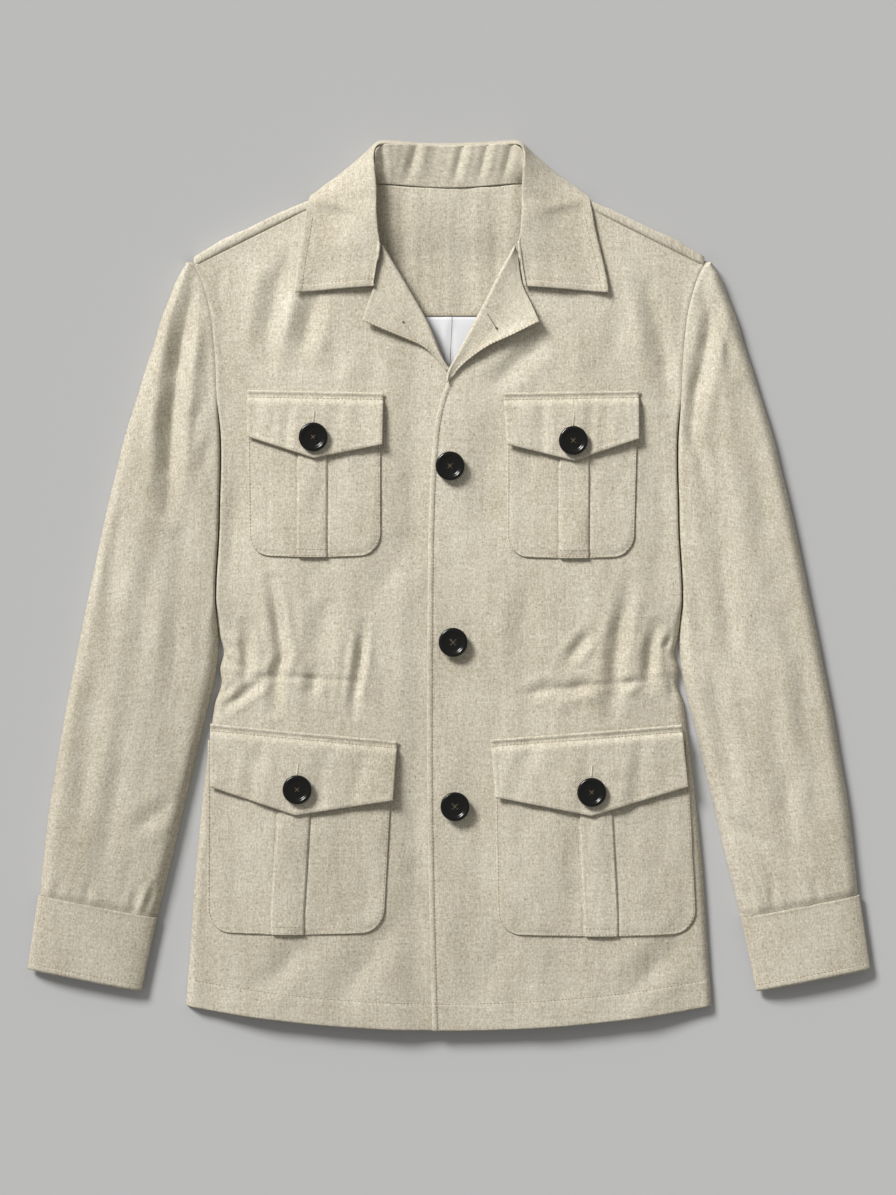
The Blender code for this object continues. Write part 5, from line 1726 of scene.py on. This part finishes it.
@dataclass
class Stand:
    """The band of the collar that shows inside the neck, with its creases; sizes in mm."""

    thickness: float = 1.1
    cut: Cut = Cut(0.29, 0.03, 0.0066)
    edge: TurnedEdge = TurnedEdge(1.6, 0.6, 0.35)
    waves: tuple[Waves, ...] = (Waves(0.45, 11.0, 24.0, 61), Waves(0.12, 6.0, 6.0, 62))
    crease_share: float = 1.15
    crease_bank: float = 0.3
    band_from_y: float = 350.0
    upper_stitch: float = 9.4
    row_step: float = 1.6
    column_step: float = 0.04
    unsewn_rows: tuple[int, int] = (40, 52)  # at each end, for the lower and the upper stitches
    grain_start: float = 6000.0

    def build(self, room: Workroom) -> None:
        """Make the band and its stitches."""
        table = np.array(STAND_ROWS)
        table[:, 2] += STAND_SEAM.at(table[:, 0], table[:, 1])
        steps = np.hypot(*np.diff(table[:, 3:5], axis=0).T)
        line = hermite(np.arange(len(table)), table, row_places(steps, self.row_step))
        up = spread(1.0, self.column_step)[None, :, None]
        half = mix(line[:, None, :3], line[:, None, 3:], up)
        points = np.concatenate([half, half[:-1][::-1] * np.array([-1.0, 1.0, 1.0])])
        normals = grid_normals(points)
        normals *= np.sign(normals[len(half), 10, 2])
        x, y = points[:, :, 0], points[:, :, 1]
        rise = np.broadcast_to(up[..., 0], x.shape)
        depth = np.zeros(x.shape)
        for deep, half_width, top_x, seam_x in STAND_CREASES:
            away = x - mix(seam_x, top_x, rise)
            fade = smooth(rise / 0.7 + 0.15)
            depth = depth + self.crease_share * deep * fade * trough(away, half_width, self.crease_bank)
        soft = smooth((y - self.band_from_y) / 6.0) * (soft_waves(self.waves, x, y) - depth)
        points = points + normals * (soft + self.edge.fold(arc_lengths(points, 1)))[:, :, None]
        grain = np.dstack([arc_lengths(points, 0) + self.grain_start, arc_lengths(points, 1)])
        room.linen("collar_stand", points, grain, self.thickness, self.cut, "back", held=Held.FOLDED)
        lower, upper = self.unsewn_rows
        room.sew(inset_line(points[lower:-lower], self.edge.stitch),
                 inset_line(points[upper:-upper], self.upper_stitch, from_end=True))


@dataclass
class Revers:
    """A front's facing, turned back with a soft roll at the neck side; sizes in mm."""

    side: Side
    rows: list[tuple]
    lies_on_under_front: bool
    thickness: float = 1.2
    cut: Cut = Cut(0.07, 0.115, 0.0038)
    edge: TurnedEdge = TurnedEdge(5.0, seed=73)
    rim_stitch: float = 1.6
    waves: tuple[Waves, ...] = (Waves(0.30, 15.0, 17.0, 71), Waves(0.13, 6.0, 8.0, 72))
    seat_gap: float = 0.4  # where the revers touches its front
    roll_rise: float = 3.0  # how high it stands at its roll
    lift_share: float = 1.7
    curl: tuple = ((0.0, 0.0), (1.5, 1.0), (2.3, 3.0), (2.1, 5.0))  # back from the roll, and down
    curl_columns: int = 7
    full_curl: float = 12.0  # width from which the revers has its whole curl
    row_step: float = 1.5
    column_step: float = 0.033
    sewn_width: float = 9.0  # where the revers is wider than this, it is topstitched
    grain_start: Pair = (6600.0, 200.0)  # start, and step to each side

    def build(self, room: Workroom) -> None:
        """Make the revers and its two rows of stitches."""
        table = np.array(self.rows)
        corner = int(np.argmax(np.abs(table[:, 2])))
        steps = np.linalg.norm(np.diff(table[:, :2], axis=0), axis=1)
        places = np.unique(np.append(row_places(steps, self.row_step), corner))
        line = cornered(table, places, corner)
        roll = hermite(np.arange(len(table)), table[:, :2], places)
        edge, lift = line[:, 2:4], line[:, 4:5]
        length = np.maximum(np.linalg.norm(edge - roll, axis=1, keepdims=True), 0.5)
        out = (edge - roll) / length
        curl = np.minimum(1.0, length / self.full_curl)
        share = np.sort(1.0 - spread(1.0, self.column_step) ** 1.2)[None, :]
        x = mix(roll[:, :1], edge[:, :1], share)
        y = mix(roll[:, 1:], edge[:, 1:], share)
        z = front_height(x, y) - self.lies_on_under_front * under_drop(x) + self.seat_gap + CLOTH
        z = z + self.roll_rise * (1.0 - share) ** 2 + self.lift_share * lift * share ** 2
        flat = np.dstack([x, y, z])
        under = hermite(np.arange(4), self.curl, np.linspace(3.0, 0.0, self.curl_columns + 1)[:-1])
        turned = [np.hstack([flat[:, 0, :2] - out * back * curl, flat[:, 0, 2:] - down * curl])
                  for back, down in under]
        points = np.concatenate([np.stack(turned, axis=1), flat], axis=1)
        shares = np.hstack([np.zeros((len(places), self.curl_columns)), np.broadcast_to(share, x.shape)])
        rim = (1.0 - shares) * length
        x, y = points[:, :, 0], points[:, :, 1]
        above_corner = smooth((corner + 0.4 - places) / 0.4)[:, None]
        extra = self.edge.fold(rim) * np.maximum(above_corner, 0.4) + soft_waves(self.waves, x, y)
        extra = extra + self.edge.pucker(rim, x, y)
        along = arc_lengths(points, 0)
        points[:, :, 2] += smooth(length / 12.0) * extra
        start, to_side = self.grain_start
        grain = np.dstack([arc_lengths(points, 1) + start + to_side * self.side.value, along])
        room.linen("facing_" + self.side.label, points, grain, self.thickness, self.cut,
                   "front_" + self.side.label)
        sewn = (places < corner - 0.1) & (length[:, 0] > self.sewn_width)
        for distance in (self.edge.stitch, self.rim_stitch):
            room.sew(inset_line(points, distance, from_end=True)[sewn])


@dataclass
class Flap:
    """A pointed flap, sewn on along its top edge and buttoned at its tip; sizes in mm."""

    name: str
    corners: tuple  # x and y: top left, top right, bottom right, tip, bottom left
    lifts: tuple[float, float, float]  # how far the sides and the tip stand off: left, right, tip
    creases: tuple  # depth, half width, share across at the top and at the bottom
    thickness: float = 1.1
    stitch: TurnedEdge = TurnedEdge(6.9, seed=93)
    edge: TurnedEdge = TurnedEdge(3.6, 0.4, 0.0)
    waves: tuple[Waves, ...] = (Waves(0.5, 17.0, 30.0, 91), Waves(0.2, 8.0, 9.0, 92))
    seam_strip: float = 3.0  # the flap lies flat on the front in this strip
    ramp: float = 9.0  # it climbs over the pocket's edge in this distance
    ease: float = 0.2  # extra clearance over the pocket
    loose: float = 0.8  # the whole flap stands off the pocket this much more
    crease_share: float = 1.3
    crease_bank: float = 0.3
    ridge: Pair = (1.9, 1.6)  # height of the seam's ridge, and how far down
    stitch_groove: float = 0.7
    column_step: float = 1.9
    row_step: float = 1.7
    grain_start: float = 8200.0

    def seam_y(self, x: Numbers) -> Numbers:
        """y of the flap's top edge at a place across it."""
        left, right = self.corners[:2]
        return mix(left[1], right[1], (x - left[0]) / (right[0] - left[0]))

    def build(self, pocket: str, front: str, room: Workroom) -> None:
        """Make the flap and its topstitching.

        Args:
            pocket: name of the pocket under it.
            front: name of the front that it is sewn to.
            room: what it is made with.
        """
        top_left, top_right, low_right, tip, low_left = (np.array(point) for point in self.corners)
        width = math.dist(top_left, top_right)
        depth = math.dist(top_left, low_left)
        left_half = spread(width / 2.0, self.column_step, (0.9, 4.0)) / width
        share = np.concatenate([left_half, 1.0 - left_half[::-1][1:]])
        marks = (0.7, self.stitch.stitch, depth - 0.9, depth - 4.0)
        down = spread(depth, self.row_step, marks)[:, None] / depth
        column = share[:, None]
        cut = np.where(column <= 0.5, mix(low_left, tip, 2.0 * column),
                       mix(tip, low_right, 2.0 * column - 1.0))
        top = mix(top_left, top_right, column)
        x = mix(top[:, 0], cut[:, 0], down)
        y = mix(top[:, 1], cut[:, 1], down)
        from_top = self.seam_y(x) - y
        from_low = np.linalg.norm(top - cut, axis=1) * (1.0 - down)
        rim = np.minimum(np.minimum(share * width, (1.0 - share) * width), from_low)
        over = 2.0 * GAP + POCKET_CLOTH + PLEAT_RAISE + self.ease
        clearance = mix(GAP, over, smooth((from_top - self.seam_strip) / self.ramp))
        left_lift, right_lift, tip_lift = self.lifts
        side_lift = left_lift * smooth(1.0 - share / 0.3) + right_lift * smooth((share - 0.7) / 0.3)
        tip_lift = tip_lift * (1.0 - np.abs(2.0 * share - 1.0))
        lift = down ** 1.5 * (side_lift + self.loose) + down ** 2 * tip_lift
        folds = np.zeros(x.shape)
        for deep, half_width, at_top, at_low in self.creases:
            away = (share - mix(at_top, at_low, down)) * width
            fade = smooth(down / 0.3)
            folds = folds + self.crease_share * deep * fade * trough(away, half_width, self.crease_bank)
        soft = smooth(rim / 7.0) * (0.5 + soft_waves(self.waves, x, y)) * smooth(from_top / 14.0)
        height = pocket_base(x, y) + clearance + POCKET_CLOTH + lift + soft - folds
        ridge, ridge_below = self.ridge
        height = height + ridge * np.exp(-((from_top - ridge_below) / 1.9) ** 2)
        height = height - self.stitch_groove * np.exp(-((from_top - self.stitch.stitch) / 0.9) ** 2)
        height = height + self.edge.fold(rim) + self.stitch.pucker(from_top, x, y)
        points = np.dstack([x, y, height])
        length = math.dist((top_left + top_right) / 2.0, tip)
        area = width * (depth + 0.5 * (length - depth))
        grain = np.dstack([x + self.grain_start + 2.0 * x[0, 0], y])
        room.linen(self.name, points, grain, self.thickness,
                   Cut(width * MM, length * MM, area * MM * MM), pocket, front)
        room.sew(inset_line(points[:, 2:-2], self.stitch.stitch, axis=0))


@dataclass
class Pocket:
    """A patch pocket with a box pleat and round lower corners, under its flap; sizes in mm."""

    name: str
    front: str
    top_x: float  # its middle at the top and at the bottom
    low_x: float
    top_half: float  # half its width
    low_half: float
    low_y: float
    radius: float
    pleat_top_x: float  # the middle of the box pleat
    pleat_low_x: float
    pleat_half: float
    wave_seed: int
    flap: Flap
    thickness: float = 1.0
    under_flap: float = 15.0  # the pocket starts this far below the flap's seam
    sag: float = 2.5  # the bottom edge is lowest at the middle
    pleat_step: float = 0.8
    pleat_round: float = 0.25
    pleat_tack: float = 7.0  # a row of stitches holds the pleat down at this height
    pleat_groove: float = 0.8  # the pocket is drawn down beside its pleat
    edge: TurnedEdge = TurnedEdge(1.7, 0.55, 0.5, 81)
    fine_waves: Waves = Waves(0.3, 9.0, 16.0, 83)
    panel_width: float = 45.0  # about the width on each side of the pleat
    corner_rows: int = 13
    grain_start: float = 7200.0

    def build(self, room: Workroom) -> None:
        """Make the patch, its topstitching and the flap."""
        corner_y = self.low_y + self.radius
        straight = spread(1.0, 0.019)[:-1]
        angle = np.linspace(0.0, math.pi / 2.0, self.corner_rows)
        none = np.zeros(len(straight))
        share = np.concatenate([straight, np.ones(self.corner_rows)])[:, None]
        inset = np.concatenate([none, self.radius * (1.0 - np.cos(angle))])[:, None]
        below = np.concatenate([none, self.radius * np.sin(angle)])[:, None]
        middle = mix(self.top_x, self.low_x, share)
        half = mix(self.top_half, self.low_half, share)
        pleat = mix(self.pleat_top_x, self.pleat_low_x, share)
        pleat_left, pleat_right = pleat - self.pleat_half, pleat + self.pleat_half
        panel = spread(self.panel_width, 1.9, (self.edge.stitch, self.panel_width - 2.0)) / self.panel_width
        whole = 2.0 * self.pleat_half
        fold = spread(whole, 1.7, (0.6, whole - 0.6)) / whole
        x = np.hstack([mix(middle - half + inset, pleat_left - self.pleat_step, panel),
                       mix(pleat_left, pleat_right, fold),
                       mix(pleat_right + self.pleat_step, middle + half - inset, 1.0 - panel[::-1])])
        flat = np.zeros(len(panel))
        rounded = PLEAT_RAISE * (1.0 + self.pleat_round * np.sin(math.pi * fold))
        raised = np.concatenate([flat, rounded, flat])
        sag = self.sag * (1.0 - ((x - middle) / half) ** 2)
        y = mix(self.flap.seam_y(x) - self.under_flap, corner_y, share) - below - sag * share
        from_side = half - np.abs(x - middle)
        from_low = y - (self.low_y - sag)
        rim = np.where((from_side < self.radius) & (from_low < self.radius),
                       self.radius - np.hypot(self.radius - from_side, self.radius - from_low),
                       np.minimum(from_side, from_low))
        height = pocket_base(x, y) + GAP + POCKET_CLOTH + raised
        height = height + self.edge.fold(rim) + self.edge.pucker(rim, x, y)
        beside = np.minimum(np.abs(x - pleat_left), np.abs(x - pleat_right))
        height = height - self.pleat_groove * (raised == 0.0) * np.exp(-(beside / 2.2) ** 2)
        waves = (Waves(0.9, 22.0, 44.0, self.wave_seed), self.fine_waves)
        soft = 0.35 + soft_waves(waves, x, y)
        height = height + smooth(rim / 8.0) * soft * smooth(beside / 5.0 + 0.3)
        points = np.dstack([x, y, height])
        grain = np.dstack([x + self.grain_start + self.top_x * 3.0, y + self.low_y])
        width = 2.0 * max(self.top_half, self.low_half) * MM
        depth = (self.flap.seam_y(self.top_x) - self.under_flap - self.low_y + self.sag) * MM
        room.linen(self.name, points, grain, self.thickness, Cut(width, depth, 0.97 * width * depth),
                   self.front)
        on_pleat = points[:, len(panel) + 1:len(panel) + len(fold) - 1]
        room.sew(inset_line(points[:-6], self.edge.stitch),
                 inset_line(points[:-6], self.edge.stitch, from_end=True),
                 inset_line(points[:, 4:-4], self.edge.stitch, axis=0, from_end=True),
                 inset_line(on_pleat, self.pleat_tack, axis=0, from_end=True))
        self.flap.build(self.name, self.front, room)


POCKETS = (
    Pocket("chest_pocket_right", "front_right", -119.6, -119.0, 58.9, 58.4, 27.5, 18.0,
           -121.0, -121.0, 12.1, 100, Flap(
               "chest_flap_right",
               ((-178.4, 173.1), (-57.8, 170.4), (-58.7, 124.2), (-119.3, 112.2), (-178.9, 131.7)),
               (0.3, 2.6, 1.0),
               ((0.8, 4.0, 0.34, 0.27), (0.6, 5.0, 0.70, 0.62), (-0.4, 5.0, 0.18, 0.12)))),
    Pocket("chest_pocket_left", "front_left", 109.2, 107.6, 57.8, 56.4, 26.5, 18.0,
           110.8, 110.6, 12.4, 99, Flap(
               "chest_flap_left",
               ((48.1, 170.4), (168.2, 172.6), (168.2, 129.5), (110.6, 109.9), (50.7, 124.6)),
               (1.4, 1.6, 1.0),
               ((0.7, 4.5, 0.30, 0.26), (0.8, 4.5, 0.66, 0.60), (-0.4, 5.0, 0.84, 0.80)))),
    Pocket("lower_pocket_right", "front_right", -131.8, -135.7, 82.0, 78.8, -306.5, 20.0,
           -133.6, -142.6, 13.6, 100, Flap(
               "lower_flap_right",
               ((-211.5, -122.4), (-45.4, -137.5), (-49.3, -190.0), (-135.3, -203.4), (-211.9, -178.4)),
               (0.2, 3.0, 1.2),
               ((0.9, 6.0, 0.30, 0.22), (0.7, 7.0, 0.66, 0.58), (0.6, 6.0, 0.86, 0.78)))),
    Pocket("lower_pocket_left", "front_left", 125.6, 130.6, 85.4, 88.0, -308.0, 20.0,
           126.6, 134.6, 13.9, 99, Flap(
               "lower_flap_left",
               ((36.5, -136.2), (206.5, -123.3), (212.0, -178.4), (125.8, -204.0), (40.9, -187.3)),
               (1.2, 0.8, 1.2),
               ((0.8, 7.0, 0.22, 0.10), (0.7, 6.0, 0.52, 0.44), (0.8, 6.0, 0.80, 0.72)))),
)


@dataclass
class Buttons:
    """Turned horn buttons with four holes, sewn on with thread; sizes in mm."""

    wardrobe: Wardrobe
    turn_steps: int = 56
    hole_count: int = 4
    hole_reach: float = 2.8  # distance of a hole from the middle
    hole_radius: float = 1.05
    hole_sides: int = 14
    drill_length: float = 20.0
    sharp_from: float = 38.0  # degrees between faces
    rim: float = 12.0  # the button rests on the highest cloth within this distance
    seat_gap: float = 0.1
    thread_width: float = 0.9
    thread_height: float = 0.7
    thread_level: float = 2.7  # above the button's underside

    def pattern(self) -> Mesh:
        """One button at the origin: a turned profile with its holes cut."""
        profile = np.array([(r, 0.0, z) for r, z in BUTTON_PROFILE])
        body = add_object("button_pattern", wire_mesh([profile], "button_profile"))
        turn = body.modifiers.new("Turn", "SCREW")
        turn.steps = self.turn_steps
        turn.render_steps = self.turn_steps
        turn.use_merge_vertices = True
        turn.merge_threshold = 0.00001
        turn.use_normal_calculate = True
        drills = bmesh.new()
        for k in range(self.hole_count):
            angle = 2.0 * math.pi * (k + 0.5) / self.hole_count
            made = bmesh.ops.create_cone(drills, cap_ends=True, segments=self.hole_sides,
                                         radius1=self.hole_radius * MM, radius2=self.hole_radius * MM,
                                         depth=self.drill_length * MM)
            place = (self.hole_reach * MM * math.cos(angle), self.hole_reach * MM * math.sin(angle), 0.0)
            bmesh.ops.translate(drills, verts=made["verts"], vec=place)
        drill = add_object("button_drills", mesh_of(drills, "button_drills"))
        cut = body.modifiers.new("Holes", "BOOLEAN")
        cut.object = drill
        cut.operation = "DIFFERENCE"
        cut.solver = "EXACT"
        finished = evaluated_mesh(body)
        bpy.data.objects.remove(body)
        bpy.data.objects.remove(drill)
        finished.shade_smooth()
        finished.set_sharp_from_angle(angle=math.radians(self.sharp_from))
        return finished

    def build(self) -> None:
        """Set a copy of the button at each place, on the cloth."""
        pattern = self.pattern()
        for name, (x, y) in BUTTONS.items():
            under = [(x + reach * math.cos(angle), y + reach * math.sin(angle))
                     for angle in np.linspace(0.0, 2.0 * math.pi, 17)
                     for reach in (0.0, self.rim / 2.0, self.rim)]
            level = float(cloth_top(under).max()) + self.seat_gap
            mesh = pattern.copy()
            mesh.transform(Matrix.Translation((x * MM, y * MM, level * MM)))
            mesh.materials.clear()
            mesh.materials.append(self.wardrobe.horn)
            add_piece(name + "_horn", mesh, name)
            self.thread(name, x, y, level)
        log.info("buttons: %d", len(BUTTONS))

    def thread(self, name: str, x: float, y: float, level: float) -> None:
        """Two strands crossed over the holes.

        Args:
            name: the button's name.
            x: the button's middle.
            y: the button's middle.
            level: height of its underside.
        """
        form = bmesh.new()
        for turn in (math.pi / 4.0, -math.pi / 4.0):
            made = bmesh.ops.create_uvsphere(form, u_segments=8, v_segments=6, radius=0.5)
            for vert in made["verts"]:
                along = vert.co.x * 2.0 * self.hole_reach
                side = vert.co.y * self.thread_width
                vert.co = ((x + along * math.cos(turn) - side * math.sin(turn)) * MM,
                           (y + along * math.sin(turn) + side * math.cos(turn)) * MM,
                           (level + self.thread_level + vert.co.z * self.thread_height) * MM)
        mesh = mesh_of(form, name + "_thread")
        mesh.materials.append(self.wardrobe.dark_thread)
        mesh.shade_smooth()
        add_piece(name + "_thread", mesh)


@dataclass
class Buttonholes:
    """Worked buttonholes above the flap buttons and on the revers, each with a dark line of painted shade
    in its cut, and the knots on both revers.
    """

    wardrobe: Wardrobe
    above_button: Pair = (14.0, 23.0)  # where a flap's buttonhole shows
    lean: float = 0.8
    revers_hole: tuple = ((33.8, 239.8), (41.8, 227.4))
    knots: tuple = (((-40.6, 232.9), (-40.2, 232.5)), ((41.6, 227.5), (42.0, 227.1)))
    points: int = 12
    thread_rise: float = 0.25
    # the dark line of painted shade in each cut lies this much above the worked edge
    shade_line_rise: float = 0.3

    def build(self) -> None:
        """Make the worked edges, the dark lines of painted shade in the cuts, and the knots."""
        thread, stitch, dark = self.wardrobe.thread, self.wardrobe.stitch, self.wardrobe.dark_thread
        holes = Stitching("buttonholes", 0.75, 2.0, 0.55, thread, turned=True)
        # the dark lines down the middle of each buttonhole are painted shade where the cut opens, drawn in
        # stitch and dark thread
        painted_slit_shade = Stitching("buttonhole_painted_slit_shade", 1.2, 1.9, 0.3, stitch)
        revers_painted_slit_shade = Stitching("revers_painted_slit_shade", 1.2, 1.9, 0.7, dark)
        low, high = self.above_button
        places = [(painted_slit_shade, (x, y + low), (x + self.lean, y + high)) for name, (x, y) in BUTTONS.items()
                  if not name.startswith("front")]
        places.append((revers_painted_slit_shade, *self.revers_hole))
        for shade_line, start, end in places:
            share = np.linspace(0.0, 1.0, self.points)[:, None]
            places_xy = mix(np.array(start), np.array(end), share)
            line = np.column_stack([places_xy, cloth_top(places_xy) + self.thread_rise])
            holes.lines.append(line)
            # a dark line of painted shade along the cut, over the pale worked edge
            shade_line.lines.append(line + np.array([0.0, 0.0, self.shade_line_rise]))
            log.info("buttonhole at %.0f, %.0f", *start)
        knot = Stitching("revers_knot", 0.5, 1.9, 1.9, dark)
        for piece in (holes, painted_slit_shade, revers_painted_slit_shade):
            piece.build()
        for place in self.knots:
            knot.lines.append(np.column_stack([np.array(place), cloth_top(place)]))
        knot.build()


@dataclass
class Studio:
    """The camera straight above, the floor and a soft light from the upper left; sizes in metres."""

    camera_height: float = 2.8
    view_height: float = 1.0636
    view_centre: Pair = (-0.0009, -0.0107)
    sensor: float = 24.0  # in millimetres
    floor_size: float = 4.0
    floor_z: float = -0.0003
    floor_colour: Colour = (0.493, 0.501, 0.514, 1.0)
    floor_roughness: float = 0.9
    key_power: float = 3.62
    key_width: float = 18.0  # degrees, as are the other angles
    key_colour: Colour = (1.0, 0.985, 0.96)
    key_tilt: Pair = (-38.0, -44.0)
    room_colour: Colour = (1.0, 0.972, 0.92, 1.0)
    room_strength: float = 0.34
    spot_power: float = 43.0
    spot_width: float = 36.0
    spot_radius: float = 0.22
    spot_colour: Colour = (1.0, 0.99, 0.97)
    spot_from: tuple[float, float, float] = (-0.75, 1.05, 1.15)
    spot_at: tuple[float, float, float] = (0.055, 0.14, 0.0)

    def build(self) -> None:
        """Make the camera, the floor and the lights."""
        scene = bpy.context.scene
        scene.view_settings.view_transform = "Standard"
        camera = bpy.data.cameras.new("camera")
        camera.sensor_fit = "VERTICAL"
        camera.sensor_height = self.sensor
        camera.lens = self.sensor * self.camera_height / self.view_height
        holder = add_object("camera", camera)
        holder.location = (*self.view_centre, self.camera_height)
        scene.camera = holder
        self.floor()
        sun = bpy.data.lights.new("key", "SUN")
        sun.energy = self.key_power
        sun.angle = math.radians(self.key_width)
        sun.color = self.key_colour
        key = add_object("key", sun)
        key.rotation_euler = (*(math.radians(tilt) for tilt in self.key_tilt), 0.0)
        world = bpy.data.worlds.new("studio")
        world.use_nodes = True
        background = world.node_tree.nodes["Background"]
        background.inputs["Color"].default_value = self.room_colour
        background.inputs["Strength"].default_value = self.room_strength
        scene.world = world
        log.info("studio ready")

    def floor(self) -> None:
        """The plain pale floor that the jacket lies on."""
        form = bmesh.new()
        bmesh.ops.create_grid(form, x_segments=2, y_segments=2, size=self.floor_size)
        mesh = mesh_of(form, "floor")
        material, graph, shader = new_material("floor_paper")
        graph.fill(shader, {"Base Color": self.floor_colour, "Roughness": self.floor_roughness})
        mesh.materials.append(material)
        floor = add_object("floor", mesh)
        floor.location.z = self.floor_z

    def light_chest(self) -> None:
        """A soft spot from the upper left that lights only the jacket, most at the chest."""
        spot = bpy.data.lights.new("chest_light", "SPOT")
        spot.energy = self.spot_power
        spot.spot_size = math.radians(self.spot_width)
        spot.spot_blend = 1.0
        spot.shadow_soft_size = self.spot_radius
        spot.color = self.spot_colour
        holder = add_object("chest_light", spot)
        start = Vector(self.spot_from)
        holder.location = start
        holder.rotation_euler = (Vector(self.spot_at) - start).to_track_quat("-Z", "Y").to_euler()
        lit = bpy.data.collections.new("jacket_pieces")
        for piece in bpy.context.scene.collection.objects:
            if piece.type == "MESH" and piece.name != "floor":
                lit.objects.link(piece)
        holder.light_linking.receiver_collection = lit


@dataclass
class SafariJacket:
    """The whole jacket."""

    wardrobe: Wardrobe = field(default_factory=Wardrobe)
    stitch_pitch: float = 3.1
    stitch_length: float = 2.2
    stitch_width: float = 0.50
    stitch_rise: float = 0.12

    def build(self) -> None:
        """Make every piece, its stitching and its buttons."""
        topstitching = Stitching("topstitching", self.stitch_pitch, self.stitch_length,
                                 self.stitch_width, self.wardrobe.stitch)
        room = Workroom(self.wardrobe, topstitching)
        pieces = [Back(), NeckInside()]
        for side in Side:
            pieces.extend([Front(side), Sleeve(side), Cuff(side)])
        pieces.extend([Leaf(), Stand(), Revers(Side.RIGHT, FACING_RIGHT_ROWS, True),
                       Revers(Side.LEFT, FACING_LEFT_ROWS, False), *POCKETS])
        for piece in pieces:
            piece.build(room)
        for line in topstitching.lines:
            line[:, 2] += self.stitch_rise
        topstitching.build()
        Buttonholes(self.wardrobe).build()
        Buttons(self.wardrobe).build()


def main() -> None:
    """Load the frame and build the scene."""
    logging.basicConfig(level=logging.INFO, format="%(name)s: %(message)s")
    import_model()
    studio = Studio()
    studio.build()
    SafariJacket().build()
    studio.light_chest()


if __name__ == "__main__":
    main()
